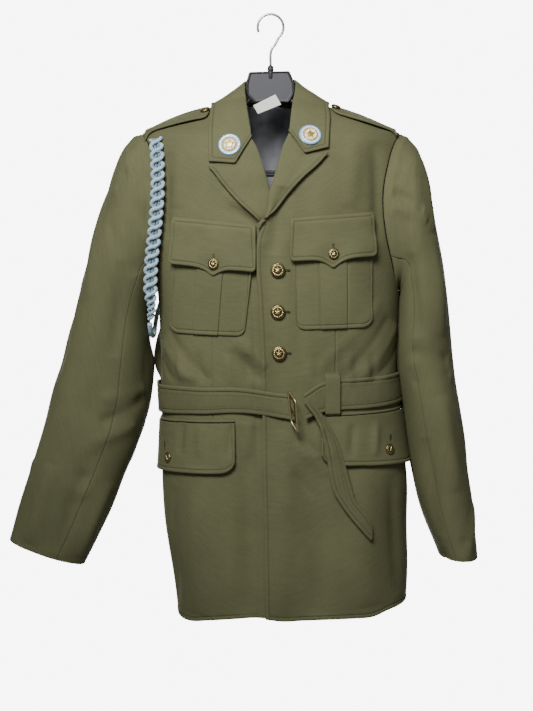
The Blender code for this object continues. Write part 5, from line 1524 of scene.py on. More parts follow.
def moulded(tree, shader, base, scuffed, roughness):
    """Injection moulded polystyrene: even dark colour, a fine moulded grain, dull scuffs and a
    soft gloss on its edges. A part may mark its web with a value of 1, where the colour is a
    lighter grey."""
    place = in_place(tree)
    scuff = noise(tree, place, 22, 5.0, Roughness=0.7)
    marks = between_values(tree, scuff, 0.45, 0.75)
    colour = mixed(tree, marks, tuple(base), tuple(scuffed))
    # The plate's web is coloured a lighter grey than its rim.
    set_shader(shader, Base_Color=mixed(tree, stored(tree, "rubbed"), colour, linear("#47474b")),
           Roughness=between_values(tree, scuff, 0.3, 0.7, roughness - 0.06, roughness + 0.12),
           Normal=bump(tree, noise(tree, place, 0.8, 3.0), 0.25, 0.1))


def zinc_wire(tree, shader):
    """Zinc plated steel wire, drawn: a grey metal with fine lengthwise streaks."""
    streak = noise(tree, drawn(tree, along_cloth(tree), (0.08, 1.0, 1.0)), 0.6, 3.0)
    set_shader(shader, Base_Color=mixed(tree, streak, linear("#9a9c9f"), linear("#c9cbce")),
           Roughness=between_values(tree, streak, 0.3, 0.7, 0.22, 0.38), Metallic=1.0)


def woven_tape(tree, shader):
    """Polyester taffeta tape: white plain weave with a faint rib."""
    weave = ribs(tree, along_cloth(tree), 0.9)
    set_shader(shader, Base_Color=mixed(tree, weave, linear("#dcdcd4"), linear("#f4f4ee")),
           Normal=bump(tree, weave, 0.4, 0.15), Roughness=0.7, Sheen_Weight=0.2)


def paper_floor(tree, shader):
    """Matt white floor paper, with a trace of unevenness."""
    cloud = add_node(tree, "ShaderNodeTexNoise", {"Vector": in_place(tree), "Scale": 1.2}).outputs["Fac"]
    set_shader(shader, Base_Color=mixed(tree, cloud, linear("#f2f2f2"), linear("#f7f7f7")),
               Roughness=0.95)


def cotton_thread(tree, shader, colour):
    """Twisted cotton thread: a shade off the cloth, with fine flecks along each stitch."""
    fleck = noise(tree, in_place(tree), 0.9, 2.0)
    dark = tuple(c * 0.7 for c in colour)
    set_shader(shader, Base_Color=mixed(tree, fleck, dark, tuple(colour)), Roughness=0.75,
        Specular_IOR_Level=0.25)


# ---- buttons, discs, braid and hanger


def star(turn, points, sharpness):
    """Outline radius of a star with straight sides, 1 at its points."""
    step = 2 * math.pi / points
    folded = np.abs((turn + step / 2) % step - step / 2)
    return sharpness / (np.cos(folded) * sharpness + np.sin(folded) * (1 - sharpness * math.cos(step / 2))
        / math.sin(step / 2))


def button_relief(r, turn, points):
    """Raised design of a button: roped rim, leaf wreath and a star. Shares of the radius."""
    rope = 0.035 * eased(0.84, 0.90, r) * (0.6 + 0.4 * np.cos(turn * 34 + r * 12))
    leaves = np.abs(np.sin(turn * 9 + 3.2 * (r - 0.68))) ** 0.6
    wreath = 0.07 * leaves * np.exp(-(((r - 0.68) / 0.10) ** 2))
    inside = star(turn + math.pi / 2, points, 0.42) * 0.50 - r
    raised = 0.085 * eased(-0.03, 0.06, inside) * (1 - 0.5 * r / 0.5)
    ridges = 0.03 * np.abs(np.cos(turn * points / 2 + math.pi / 4)) * eased(0, 0.1, inside)
    return rope + wreath + raised + ridges


def disc_relief(r, turn, points):
    """Raised design of a collar medal: a rayed field, a laurel ring and a star."""
    rays = 0.022 * np.cos(turn * 28) * eased(0.3, 0.5, r) * (1 - eased(0.72, 0.8, r))
    laurel = 0.075 * np.abs(np.sin(turn * 7 + 5 * (r - 0.78))) ** 0.35
    laurel = laurel * np.exp(-(((r - 0.78) / 0.11) ** 2))
    inside = star(turn + math.pi / 2, points, 0.50) * 0.66 - r
    return rays + laurel + 0.10 * eased(-0.02, 0.04, inside) * (1 - 0.5 * r / 0.6)


def turned(name, base, axis, radii, heights, look, segments=96, closed=False, fields=None):
    """Turned piece: rings of these radii at these heights along an axis. Heights may vary
    round each ring. A closed one is a ring whose section is a closed loop."""
    axis = unit(np.asarray(axis, float))
    side = unit(np.cross(axis, (0, 0, 1) if abs(axis[2]) < 0.9 else (1, 0, 0)))
    other = np.cross(axis, side)
    turn = np.arange(segments) / segments * 2 * math.pi
    spokes = np.cos(turn)[:, None] * side + np.sin(turn)[:, None] * other
    radii, heights = np.asarray(radii, float).reshape(-1, 1), np.asarray(heights, float)
    heights = heights.reshape(len(radii), -1) + 0 * turn
    points = base + spokes[None] * radii[..., None] + axis * heights[..., None]
    return solid_object(name, points, ring_faces(len(radii), segments, closed), look, fields)


def struck_dome(name, base, axis, diameter, height, edge, relief_of, points, look):
    """Struck metal dome with a raised design, on a rolled edge. The worn value is its height."""
    radius, segments = diameter / 2, 96
    turn = np.arange(segments) / segments * 2 * math.pi
    shares = np.concatenate([np.linspace(0.02, 0.92, 30), [0.95, 0.975, 0.99, 1.0]])[:, None]
    design = relief_of(shares, turn[None, :], points)
    dome = edge + height * np.sqrt(np.clip(1 - shares**2.2, 0, 1))
    dome = dome + radius * design * (1 - eased(0.93, 1.0, shares))
    lip = np.array([[edge * 0.5], [edge * 0.1], [0.0]]) + 0 * turn
    radii = np.concatenate([shares[:, 0], [1.0, 0.97, 0.86]]) * radius
    worn = np.clip(np.concatenate([design / 0.12, 0 * lip]), 0, 1).ravel()
    return turned(name, base, axis, radii, np.concatenate([dome, lip]), look, fields={"worn": worn})


def collar_seat(x, z):
    """Point of the collar fall in front at (x, z), and its normal."""
    points = collar_points(np.linspace(0, 1, 160), np.linspace(0, 1, 60))
    normals, _ = unit_normals(points, collar_facing(points))
    away = np.hypot(points[..., 0] - x, points[..., 2] - z) + np.where(points[..., 1] > 0, 999, 0)
    nearest = np.unravel_index(np.argmin(away), away.shape)
    return points[nearest], normals[nearest]


def enamel_ring(name, base, axis, look):
    """Flat enamelled ring of a collar disc, with rounded edges. Inner is 1 on its white band."""
    radius, segments = DISC / 2, 72
    profile = ((3.3, 0.0), (0.5, 0.0), (0.0, 0.5), (0.0, 1.1), (0.5, 1.6), (2.2, 1.8), (2.5, 1.6),
        (2.8, 1.8), (3.3, 1.7))
    inner = np.array([1.0 if inset > 2.4 else 0.0 for inset, _ in profile])
    return turned(name, base, axis, [radius - inset for inset, _ in profile],
        [height for _, height in profile], look, segments, closed=True,
        fields={"inner": np.repeat(inner, segments)})


def buttonhole(centre, ahead, normal, length, name):
    """Corded buttonhole: two parallel lips of thread, joined at both ends into one closed loop;
    no slit is cut between them.
    """
    ahead = unit(ahead)
    side = unit(np.cross(normal, ahead))
    turn = np.linspace(0, 2 * math.pi, 33)[:-1]
    path = [centre + ahead * (length / 2 * np.sign(np.cos(t)) * abs(np.cos(t)) ** 0.35) + side * 0.95
        * np.sin(t) for t in turn]
    return tube(name, np.array(path) + normal * 0.15, 0.62, TWIST, sides=8, up=normal, closed=True)


def path_frames(path, up, tangents=None):
    """Tangent, sideways and upward directions along a path."""
    if tangents is None:
        tangents = np.gradient(path, axis=0)
        tangents /= np.linalg.norm(tangents, axis=1, keepdims=True)
    sides, tops = [], [np.asarray(up, float)]
    for tangent in tangents:
        sides.append(unit(np.cross(tangent, tops[-1])))
        tops.append(np.cross(sides[-1], tangent))
    return tangents, np.array(sides), np.array(tops[1:])


KNOT_PITCH, PLAIT_PITCH, WORKING_STRAND, CORE_STRAND = 13.8, 8.4, 2.75, 2.3
LOOP_MIDDLE, LOOP_HALF, PLAIT_LONG = 2.2, 5.6, 32.0


def knotted_braid(name):
    """Two working strands looped across two core strands, ending in a narrow plait. The deep
    value is painted shade: it is close to 1 on the core, and it darkens the working strands where
    they dip behind and the plait towards its end."""
    spine = through(BRAID_PATH, 1000)
    total = path_length(spine) / MM
    along = np.linspace(0, total, len(spine))
    tangents, sides, tops = path_frames(spine, (0, 1, 0))
    plait = eased(total - PLAIT_LONG - 6, total - PLAIT_LONG + 4, along)
    wide = 1 - 0.40 * plait - 0.18 * eased(total - PLAIT_LONG, total, along)
    pitch = KNOT_PITCH + (PLAIT_PITCH - KNOT_PITCH) * plait
    phase = np.cumsum(2 * math.pi / pitch) * (total / len(spine))
    verts, faces, weft, deep, start = [], [], [], [], 0
    for turn in (1, -1, 2, -2):
        if abs(turn) == 1:
            loop = LOOP_MIDDLE + LOOP_HALF * np.cos(phase)
            depth = turn * 2.3 * np.sin(phase) + 0.9
            slip, radius = 2.6 * np.sin(phase) * wide, WORKING_STRAND * (0.55 + 0.45 * wide)
        else:
            loop, depth, slip, radius = 1.2 + 0 * phase, -1.2, 0 * phase, CORE_STRAND * wide
        path = spine + sides * (turn * loop * wide)[:, None]
        path = path - tops * (depth * wide)[:, None] + tangents * slip[:, None]
        corners, quads, laid = rope_rings(path, radius, 14, 3, 9.0)
        verts.append(corners)
        faces += [[corner + start for corner in quad] for quad in quads]
        weft.append(laid)
        # Painted shade: the core strands, the dipping parts of the working strands and the plait get a
        # deep value that darkens them.
        shade = 0.0 * phase + 0.8 if abs(turn) == 2 else 0.5 * np.clip(-depth / 1.4, 0, 1)
        deep.append(np.repeat(np.clip(shade + 0.35 * plait, 0, 1), 14))
        start += len(corners)
    fields = {"weft": np.concatenate(weft), "deep": np.concatenate(deep)}
    return solid_object(name, np.concatenate(verts), faces, BRAID_LOOK, fields), spine


def rope_rings(path, radius, sides, plies, lay):
    """Corners, faces and weave values of a laid strand, whose plies turn once in each lay."""
    _, across, tops = path_frames(path, (0, 1, 0))
    along = travelled(path)[:, None]
    turn = (np.arange(sides) / sides * 2 * math.pi)[None, :]
    lobes = 1 + 0.07 * np.cos(plies * (turn - 2 * math.pi * along / (lay * plies)))
    radius = np.asarray(radius).reshape(-1, 1) * lobes if np.ndim(radius) else radius * lobes
    rings = path[:, None] + (radius * np.cos(turn))[..., None] * across[:,
        None] + (radius * np.sin(turn))[..., None] * tops[:, None]
    faces = ring_faces(len(path), sides, way=-1)
    laid = np.stack([along + 0 * turn, turn * 2.0 + 0 * along, 0 * along + 0 * turn], axis=-1)
    return rings.reshape(-1, 3), faces, laid.reshape(-1, 3) * MM


def thin_cord_path(count):
    """Route of the thin cord under the arm, up the back and over to the strap."""
    lift = CORD_RADIUS + 2 * CHORD + SEAM
    path = [np.array(point) for point in CORD_UNDER_ARM]
    path += [layer(angle_of(x, z, back=True), np.float64(z), lift) for x, z in CORD_UP_BACK]
    path += [top_of_coat(np.float64(x), np.float64(y), lift) for x, y in CORD_AT_STRAP]
    return through(path, count)


def plate_object(name):
    """Hexagonal middle of the hanger: a thin web inside a thicker rounded rim. The web carries a
    value of 1, which colours it a lighter grey than the rim."""
    outline = np.array(PLATE)
    dense = []
    for i, corner in enumerate(outline):
        before, after = outline[i - 1], outline[(i + 1) % len(outline)]
        near = min(3.0, np.linalg.norm(before - corner) / 3, np.linalg.norm(after - corner) / 3)
        one = corner + unit(before - corner) * near
        two = corner + unit(after - corner) * near
        dense += [(1 - t) ** 2 * one + 2 * t * (1 - t) * corner + t * t * two
            for t in np.linspace(0, 1, 6)]
    dense = np.array(dense)
    middle = dense.mean(axis=0)
    size = np.abs(dense - middle).max()
    profile = ((1.0, 0.0), (1.0, 2.6), (0.985, 3.2), (0.965, 3.5), (0.925, 3.5), (0.905, 3.1),
        (0.895, 2.2), (0.88, 2.0), (0.86, 2.0), (0.5, 2.0), (0.0, 2.0))
    rings = []
    for share, depth in profile:
        inset = dense - (dense - middle) / np.linalg.norm(dense - middle, axis=1,
            keepdims=True) * (1 - share) * size if share else middle + (dense - middle) * 0.02
        rings.append([(x, -depth, z) for x, z in inset])
    front = np.array(rings)
    back = front[::-1] * np.array([1, -1, 1])
    whole = np.concatenate([front[::-1], back[::-1][1:]])
    rubbed = np.array([1.0 if share < 0.9 else 0.0 for share, _ in profile])
    rubbed = np.repeat(np.concatenate([rubbed[::-1], rubbed[1:]]), len(dense))
    return solid_object(name, whole, ring_faces(len(whole), len(dense)), PLASTIC, {"rubbed": rubbed})


# ---- fastenings and holder that stand for solids


def button(name, base, axis, diameter, metal):
    """A struck button on its place."""
    made = struck_dome(name + "_struck", base, axis, diameter, 0.13 * diameter, 0.10 * diameter,
        button_relief, metal.points, GILT)
    return dress(made, "gilt_brass", name)


def buckle():
    """Wire frame turned edge on by the pull of the tail, and its prong."""
    corners = [layer(angle_of(x, z), np.float64(z), lift) for x, z, lift in BUCKLE_CORNERS]
    path = []
    for i, corner in enumerate(corners):
        into = corners[i - 1] - corner
        out = corners[(i + 1) % 4] - corner
        into, out = unit(into) * 5, unit(out) * 5
        path += [corner + into * (1 - t) ** 2 + out * t**2 for t in np.linspace(0, 1, 9)]
    frame_wire = tube("buckle_frame_wire", path, BUCKLE_WIRE, GILT, up=(1, 0, 0), closed=True,
        field={"worn": np.full(16 * len(path), 0.42)})
    dress(frame_wire, "gilt_brass", "buckle_frame")
    bar = (corners[0] + corners[3]) / 2
    front = (corners[1] + corners[2]) / 2
    along = unit(front - bar)
    start, end = bar + along * 2.4, front - along * 2.4
    line = [start + (end - start) * t for t in np.linspace(0, 1, 14)]
    prong = tube("buckle_prong_wire", line, np.linspace(1.1, 0.85, 14), GILT)
    dress(prong, "gilt_brass", "buckle_prong")


def strap_seat(side):
    """Base and axis of the small button on a shoulder strap."""
    x, y = np.float64(side * STRAP_BUTTON_X), strap_middle(side, STRAP_BUTTON_X)
    base = top_of_coat(x, y, STRAP_STAND + 2 * SEAM + 0.4)
    return base, base - top_of_coat(x, y)


def hanger_arm(name, side):
    """Arm that carries one shoulder, broad at its end."""
    along = np.array([44.0, 57.0, 80.0, 110.0, 140.0, 165.0, 180.0, 185.0])
    rise = np.array([top_of_coat(np.float64(side * x), np.float64(0.0))[2] for x in along])
    z = rise - np.array([19.0, 12.0, 10.0, 9.6, 9.6, 9.8, 10.0, 10.5])
    start_x, start_z = ARM_START[side]
    path = np.vstack([[start_x, 0.0, start_z], np.stack([side * along, 0 * along, z], axis=-1)])
    at = np.linspace(0, 8, 60)
    widths = np.interp(at, range(9), [3.0, 4.0, 5.0, 7.0, 9.0, 12.0, 14.0, 12.0, 7.0])
    heights = np.interp(at, range(9), [3.0, 5.0, 6.0, 6.0, 6.0, 6.0, 6.0, 5.5, 3.5])
    return tube(name, smooth(np.arange(9), path, at), widths, PLASTIC, sides=28, heights=heights)


def trouser_bar(name):
    """Bar across the hanger: two rods moulded side by side, turned up to the arms."""
    riser = [(BAR_HALF + 20, 0, -183.5), (BAR_HALF + 18, 0, -202.0), (BAR_HALF + 10, 0, -223.0),
        (BAR_HALF, 0, BAR_Z)]
    path = [(-x, y, z) for x, y, z in riser] + [(x, y, z) for x, y, z in riser[::-1]]
    first = smooth(np.arange(4), path[:4], np.linspace(0, 3, 26))
    whole = np.vstack([first, np.array([(-100.0, 0, BAR_Z), (0, 0, BAR_Z), (100.0, 0, BAR_Z)]),
        first[::-1] * (-1, 1, 1)])
    _, sides, tops = path_frames(whole, (0, 1, 0))
    turn = (np.arange(32) / 32 * 2 * math.pi)[None, :, None]
    across = BAR_TALL * np.sin(turn)
    rod = np.sqrt(np.clip(1 - (2 * np.abs(np.sin(turn)) - 1) ** 2, 0, 1))
    deep = BAR_THICK * np.cos(turn) * np.clip(rod / np.maximum(np.abs(np.cos(turn)), 0.05), 0.25, 1)
    rings = whole[:, None] + across * sides[:, None] + deep * tops[:, None]
    return solid_object(name, rings, ring_faces(len(whole), 32), PLASTIC)


def hanger_hook(name):
    """Steel hook, whose inside bears on the rail at the origin."""
    centre_z = -(HOOK_RADIUS - HOOK_WIRE)
    turns = np.radians(np.linspace(200, -60, 70))
    arc = [(HOOK_RADIUS * math.cos(t), 0.0, centre_z + HOOK_RADIUS * math.sin(t)) for t in turns]
    foot = smooth(np.arange(5), [arc[-4], (7.0, 0, -42), (2.0, 0, -49), (0, 0, -57), (0, 0, -72.7)],
        np.linspace(0.1, 4, 40))
    return tube(name, np.vstack([arc[:-4], foot]), HOOK_WIRE, STEEL, sides=18, up=(0, 1, 0))


# ---- settings


def colour(name, value, description):
    """Colour setting whose default is an sRGB hex value."""
    return FloatVectorProperty(name=name, description=description, default=linear(value), subtype="COLOR",
        size=3, min=0.0, max=1.0)


class TunicClothSettings(bpy.types.PropertyGroup):
    """Yarns and weave of the coat."""

    dark: colour("Dark yarn", "#454630", "Colour of the serge in the furrows of its twill")
    light: colour("Light yarn", "#6b6c4c", "Colour of the serge on the ridges of its twill")
    # Painted light: the lining colour is far lighter than the dark satin, to make up for the shade inside
    # the neck.
    lining: colour("Lining", "#c6c7ce", "Lighter colour of the satin lining")
    thread: colour("Thread", "#5f5d40", "Colour of the stitching")
    twill: FloatProperty(name="Twill spacing",
        description="Millimetres between twill lines, coarser than the real 0.9 so that they show",
        default=1.5, min=0.5, max=8.0)
    contrast: FloatProperty(name="Twill contrast",
        description="How much the twill lines differ in colour", default=0.10, min=0.0, max=0.5,
        subtype="FACTOR")
    relief: FloatProperty(name="Twill relief", description="Height of the twill lines in millimetres",
        default=0.12, min=0.0, max=1.0)
    nap: FloatProperty(name="Nap", description="Strength of the soft light on the nap", default=0.22,
        min=0.0, max=1.0, subtype="FACTOR")


class TunicMetalSettings(bpy.types.PropertyGroup):
    """Buttons, buckle and collar discs."""

    bright: colour("Rubbed gilt", "#d8cb94", "Colour where the gilt is rubbed bright")
    hollow: colour("Toned gilt", "#483919", "Colour in the hollows of the design")
    medal: colour("Medal gilt", "#ab9138", "Colour of the gilt design on the collar discs")
    enamel: colour("Enamel", "#5f9bcb", "Deeper colour of the blue enamel")
    points: IntProperty(name="Star points", description="Points of the star on the buttons", default=6,
        min=4, max=12)


class TunicBraidSettings(bpy.types.PropertyGroup):
    """Shoulder braid and its thin cord."""

    colour: colour("Floss", "#b9d0dc", "Colour of the rayon floss")
    # Painted shade: the darker blue painted in the furrows between the plies.
    shadow: colour("Furrows", "#86a3b4", "Colour between the plies")
    # Painted shade: the dark blue-grey painted on the core strands and where the strands dip behind.
    gaps: colour("Gaps", "#3c5560", "Colour deep between the strands")


class TunicHangerSettings(bpy.types.PropertyGroup):
    """Plastic hanger."""

    plastic: colour("Plastic", "#17171a", "Colour of the moulded plastic")
    scuffed: colour("Scuffs", "#3d3a40", "Colour of the scuffed plastic")
    socket: colour("Socket", "#2b2b30", "Colour of the socket that the hook turns in")


class TunicStageSettings(bpy.types.PropertyGroup):
    """Camera, lights and floor."""

    key: FloatProperty(name="Key light", description="Power of the large soft light in watts",
        default=7.4, min=0.0, unit="POWER")
    world: FloatProperty(name="Surroundings", description="Brightness of the surroundings", default=0.16,
        min=0.0)
    backdrop: FloatProperty(name="Backdrop", description="Brightness of the white backdrop", default=8.0,
        min=0.0)
    lens: FloatProperty(name="Focal length",
        description="Focal length in millimetres on a 24 mm high picture", default=51.906, min=10.0,
        max=300.0)


class TunicSettings(bpy.types.PropertyGroup):
    """All settings of the tunic."""

    cloth: PointerProperty(type=TunicClothSettings)
    metal: PointerProperty(type=TunicMetalSettings)
    braid: PointerProperty(type=TunicBraidSettings)
    hanger: PointerProperty(type=TunicHangerSettings)
    stage: PointerProperty(type=TunicStageSettings)


# ---- operators


class TUNIC_OT_materials(bpy.types.Operator):
    """Makes the materials of all pieces."""

    bl_idname = "tunic.materials"
    bl_label = "Materials"

    def execute(self, context):
        tunic = context.scene.tunic
        make_material(SERGE, wool_serge, tunic.cloth)
        make_material(SATIN, satin_lining, tunic.cloth)
        make_material(THREAD_LOOK, cotton_thread, tunic.cloth.thread)
        # The buttonhole thread is very dark: partly dark silk, partly painted shade that stands in for
        # the slit between its lips.
        make_material(TWIST, cotton_thread, linear("#35341f"))
        make_material(GILT, gilt_brass, tunic.metal)
        make_material(ENAMEL, vitreous_enamel, tunic.metal)
        make_material(MEDAL, enamelled_gilt, tunic.metal)
        make_material(BRAID_LOOK, rayon_braid, tunic.braid)
        make_material(TAPE, woven_tape)
        make_material(PLASTIC, moulded, tunic.hanger.plastic, tunic.hanger.scuffed, 0.42)
        make_material(SOCKET_LOOK, moulded, tunic.hanger.socket, tunic.hanger.scuffed, 0.5)
        make_material(STEEL, zinc_wire)
        make_material(PAPER, paper_floor)
        return {"FINISHED"}


class TUNIC_OT_body(bpy.types.Operator):
    """Makes the fronts, the backs, the lining and the label."""

    bl_idname = "tunic.body"
    bl_label = "Body"

    def execute(self, context):
        lines = []
        for side, word in SIDES:
            front = front_panel("front_" + word + "_cloth", side)
            cut_cloth(front)
            back = back_panel("back_" + word + "_cloth", side)
            cut_cloth(back)
            lines += stitch_lines(front) + stitch_lines(back)
        sew("stitching_body", lines, THREAD_LOOK)
        lining = back_lining("back_lining_satin")
        cut_cloth(lining, "dark_satin")
        label = neck_label("neck_label_tape")
        cut_cloth(label, "white_tape")
        return {"FINISHED"}


class TUNIC_OT_sleeves(bpy.types.Operator):
    """Makes the two-piece sleeves."""

    bl_idname = "tunic.sleeves"
    bl_label = "Sleeves"

    def execute(self, context):
        for side, word in SIDES:
            for part, top in (("top", True), ("under", False)):
                node = "sleeve_" + word + "_" + part
                half = sleeve_half(node + "_cloth", side, top)
                cut_cloth(half)
        return {"FINISHED"}


class TUNIC_OT_collar(bpy.types.Operator):
    """Makes the lapels, the collar and its discs."""

    bl_idname = "tunic.collar"
    bl_label = "Collar and lapels"

    def execute(self, context):
        metal = context.scene.tunic.metal
        fall = collar_fall("collar_fall_cloth")
        cut_cloth(fall)
        stand = collar_stand("collar_stand_cloth")
        cut_cloth(stand)
        lines = stitch_lines(fall)
        for side, word in SIDES:
            facing = lapel("lapel_" + word + "_cloth", side)
            cut_cloth(facing)
            lines += stitch_lines(facing)
        sew("stitching_collar", lines, THREAD_LOOK)
        for name, x, z, stand_off in DISCS:
            seat, axis = collar_seat(x, z)
            base = seat + axis * (stand_off + 0.2)
            ring = enamel_ring(name + "_enamel", base, axis, ENAMEL)
            dress(ring, "pale_blue_enamel", name + "_ring")
            medal = struck_dome(name + "_struck", base, axis, DISC - 7.2, 0.9, 1.5, disc_relief,
                metal.points - 1, MEDAL)
            dress(medal, "gilt_brass", name + "_medal")
        return {"FINISHED"}


class TUNIC_OT_pockets(bpy.types.Operator):
    """Makes the breast pockets, the lower pocket flaps and the jets."""

    bl_idname = "tunic.pockets"
    bl_label = "Pockets"

    def execute(self, context):
        rows = ((1, "left", LEFT_PATCH, LEFT_FLAP, LEFT_HIP, LEFT_JET, (87.0, -350.0)),
            (-1, "right", RIGHT_PATCH, RIGHT_FLAP, RIGHT_HIP, RIGHT_HIP, (-79.0, -364.0)))
        lines = []
        for side, word, patch, flap, hip, mouth, held_at in rows:
            pocket = breast_patch("breast_pocket_" + word + "_cloth", patch, side)
            cut_cloth(pocket)
            cover = breast_flap("breast_flap_" + word + "_cloth", flap, side, held_at)
            cut_cloth(cover)
            lower = hip_flap("hip_flap_" + word + "_cloth", hip, side)
            cut_cloth(lower)
            strip = jet("jet_" + word + "_cloth", mouth, side)
            cut_cloth(strip)
            lines += stitch_lines(pocket) + stitch_lines(cover) + stitch_lines(lower)
        sew("stitching_pockets", lines, THREAD_LOOK)
        return {"FINISHED"}


class TUNIC_OT_belt(bpy.types.Operator):
    """Makes the belt, its loose end, its keeper and its buckle."""

    bl_idname = "tunic.belt"
    bl_label = "Belt"

    def execute(self, context):
        band = belt("belt_cloth")
        cut_cloth(band)
        tail = belt_tail("belt_tail_cloth")
        cut_cloth(tail)
        keeper = belt_keeper("belt_keeper_cloth")
        cut_cloth(keeper)
        lines = stitch_lines(band, (5.0, WELT + 5.0)) + stitch_lines(tail, TAIL_ROWS_OF_STITCHES)
        sew("stitching_belt", lines, THREAD_LOOK)
        buckle()
        return {"FINISHED"}


class TUNIC_OT_straps(bpy.types.Operator):
    """Makes the shoulder straps."""

    bl_idname = "tunic.straps"
    bl_label = "Shoulder straps"

    def execute(self, context):
        lines = []
        for side, word in SIDES:
            strap = shoulder_strap("shoulder_strap_" + word + "_cloth", side)
            cut_cloth(strap)
            lines += stitch_lines(strap)
        sew("stitching_straps", lines, THREAD_LOOK)
        return {"FINISHED"}


class TUNIC_OT_buttons(bpy.types.Operator):
    """Makes the struck buttons and the worked buttonholes."""

    bl_idname = "tunic.buttons"
    bl_label = "Buttons"

    def execute(self, context):
        metal = context.scene.tunic.metal
        for name, x, z, side, lift, diameter in BUTTONS:
            base = on_front(np.float64(x), np.float64(z), lift + SEAM + 0.6, side)
            axis = outward(angle_of(x, z), np.float64(z))
            button(name, base, axis, diameter, metal)
        for side, word in SIDES:
            base, axis = strap_seat(side)
            button("strap_button_" + word, base, axis, STRAP_BUTTON, metal)
        for name, x, z, side, lift, length, ahead in BUTTONHOLES:
            base = on_front(np.float64(x), np.float64(z), lift, side)
            normal = outward(angle_of(x, z), np.float64(z))
            hole = buttonhole(base, np.array(ahead), normal, length, name)
            dress(hole, "olive_serge")
        return {"FINISHED"}


class TUNIC_OT_braid(bpy.types.Operator):
    """Makes the knotted shoulder braid and its thin cord."""

    bl_idname = "tunic.braid"
    bl_label = "Shoulder braid"

    def execute(self, context):
        made, spine = knotted_braid("shoulder_braid_strands")
        dress(made, "blue_braid", "shoulder_braid")
        line = thin_cord_path(420)
        corners, faces, laid = rope_rings(line, CORD_RADIUS * 0.97, 18, 3, 11.0)
        cord = solid_object("shoulder_cord_strands", corners, faces, BRAID_LOOK, {"weft": laid})
        dress(cord, "blue_braid", "shoulder_cord")
        return {"FINISHED"}


class TUNIC_OT_hanger(bpy.types.Operator):
    """Makes the hanger with its bar, socket and hook."""

    bl_idname = "tunic.hanger"
    bl_label = "Hanger"

    def execute(self, context):
        dress(plate_object("hanger_plate_moulding"), "black_plastic", "hanger_plate")
        for side, word in SIDES:
            dress(hanger_arm("hanger_arm_" + word + "_moulding", side), "black_plastic",
                "hanger_arm_" + word)
        dress(trouser_bar("trouser_bar_moulding"), "black_plastic", "trouser_bar")
        dress(hanger_hook("hanger_hook_wire"), "steel_wire", "hanger_hook")
        tall = SOCKET_TOP - SOCKET_LOW
        heights = np.array([0.0, 0.6, 5.9, 6.3, 6.8, 7.2, 8.0, 8.9, 9.2]) * tall / 9.2
        radii = np.array([4.2, 4.5, 4.5, 4.1, 4.1, 4.4, 4.0, 2.8, 2.0])
        socket = turned("hook_socket_moulding", np.array([0.0, 0.0, SOCKET_LOW]), (0, 0, 1), radii,
            heights, SOCKET_LOOK, segments=40)
        dress(socket, "grey_plastic", "hook_socket")
        boss = turned("plate_boss_moulding", np.array([0.0, -0.6, SOCKET_LOW - 11.0]), (0, 0, 1),
            np.array([1.6, 3.0, 3.3, 3.3, 3.3]), np.array([0.0, 0.6, 1.6, 8.0, 11.5]), SOCKET_LOOK,
            segments=32)
        dress(boss, "grey_plastic")
        return {"FINISHED"}


def soft_light(name, place, aim, size, power, spread):
    """Large soft area light at a place, aimed at a point, with its spread in degrees."""
    data = bpy.data.lights.new(name, "AREA")
    data.shape, data.size, data.energy = "SQUARE", size, power
    data.spread = math.radians(spread)
    light = bpy.data.objects.new(name, data)
    light.location = place
    light.rotation_euler = (Vector(aim) - Vector(place)).to_track_quat("-Z", "Y").to_euler()
    bpy.context.scene.collection.objects.link(light)


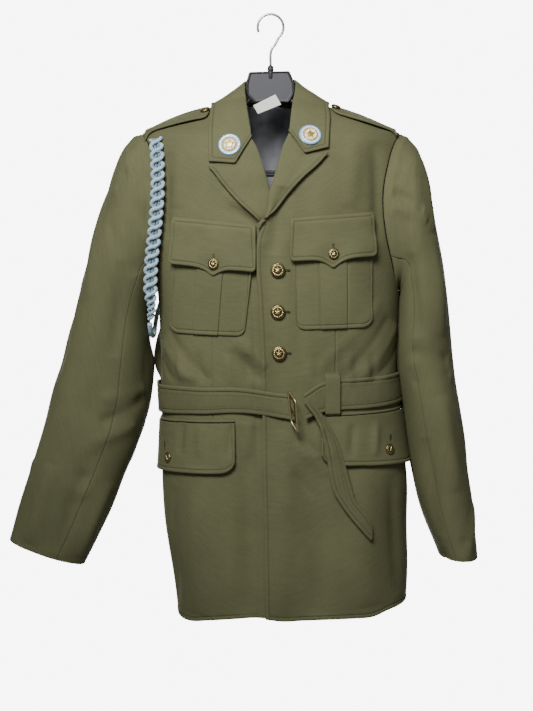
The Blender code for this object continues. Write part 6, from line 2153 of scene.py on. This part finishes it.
class TUNIC_OT_stage(bpy.types.Operator):
    """Makes the floor, the lights and the camera."""

    bl_idname = "tunic.stage"
    bl_label = "Stage"

    def execute(self, context):
        stage = context.scene.tunic.stage
        scene = context.scene
        floor = bpy.data.meshes.new("floor_paper")
        floor.from_pydata([(-9, -5, -1.75), (9, -5, -1.75), (9, 1.5, -1.75), (-9, 1.5, -1.75)], [],
            [(0, 1, 2, 3)])
        floor.materials.append(bpy.data.materials[PAPER])
        paper = bpy.data.objects.new("floor_paper", floor)
        scene.collection.objects.link(paper)
        soft_light("key_light", (-0.45, -1.70, 0.90), (0.05, 0.0, -0.28), 0.8, stage.key, 50.0)
        world = bpy.data.worlds.new("pale_surroundings")
        world.use_nodes = True
        tree = world.node_tree
        towards = add_node(tree, "ShaderNodeTexCoord").outputs["Generated"]
        back = add_node(tree, "ShaderNodeSeparateXYZ", {"Vector": towards}).outputs["Y"]
        bright = between_values(tree, back, 0.87, 0.935, stage.world, stage.backdrop)
        fill(tree.nodes["Background"], {"Color": (*linear("#fbfbfb"), 1.0), "Strength": bright})
        scene.world = world
        data = bpy.data.cameras.new("camera")
        data.sensor_fit, data.sensor_height, data.lens = "VERTICAL", 24.0, stage.lens
        data.clip_end = 30.0
        camera = bpy.data.objects.new("camera", data)
        camera.location = (-0.006, -2.3, -0.330)
        camera.rotation_euler = (math.radians(90) - math.atan2(173, 2300), 0.0, 0.0)
        scene.collection.objects.link(camera)
        scene.camera = camera
        return {"FINISHED"}


STEPS = ("materials", "body", "sleeves", "collar", "pockets", "belt", "straps", "buttons", "braid",
    "hanger", "stage")


class TUNIC_PT_panel(bpy.types.Panel):
    """Settings and steps of the tunic, in the sidebar."""

    bl_idname = "TUNIC_PT_panel"
    bl_label = "Tunic"
    bl_space_type = "VIEW_3D"
    bl_region_type = "UI"
    bl_category = "Tunic"

    def draw(self, context):
        tunic = context.scene.tunic
        for title, group in (("Cloth", tunic.cloth), ("Metal", tunic.metal), ("Braid", tunic.braid),
                ("Hanger", tunic.hanger), ("Stage", tunic.stage)):
            box = self.layout.box()
            box.label(text=title)
            for key in group.__annotations__:
                box.prop(group, key)
        for step in STEPS:
            self.layout.operator("tunic." + step)


CLASSES = (TunicClothSettings, TunicMetalSettings, TunicBraidSettings, TunicHangerSettings,
    TunicStageSettings, TunicSettings, TUNIC_OT_materials, TUNIC_OT_body, TUNIC_OT_sleeves,
    TUNIC_OT_collar, TUNIC_OT_pockets, TUNIC_OT_belt, TUNIC_OT_straps, TUNIC_OT_buttons, TUNIC_OT_braid,
    TUNIC_OT_hanger, TUNIC_OT_stage, TUNIC_PT_panel)


def register():
    for each in CLASSES:
        bpy.utils.register_class(each)
    bpy.types.Scene.tunic = PointerProperty(type=TunicSettings)


def unregister():
    del bpy.types.Scene.tunic
    for each in reversed(CLASSES):
        bpy.utils.unregister_class(each)


def main():
    register()
    for step in STEPS:
        getattr(bpy.ops.tunic, step)()


if __name__ == "__main__":
    main()
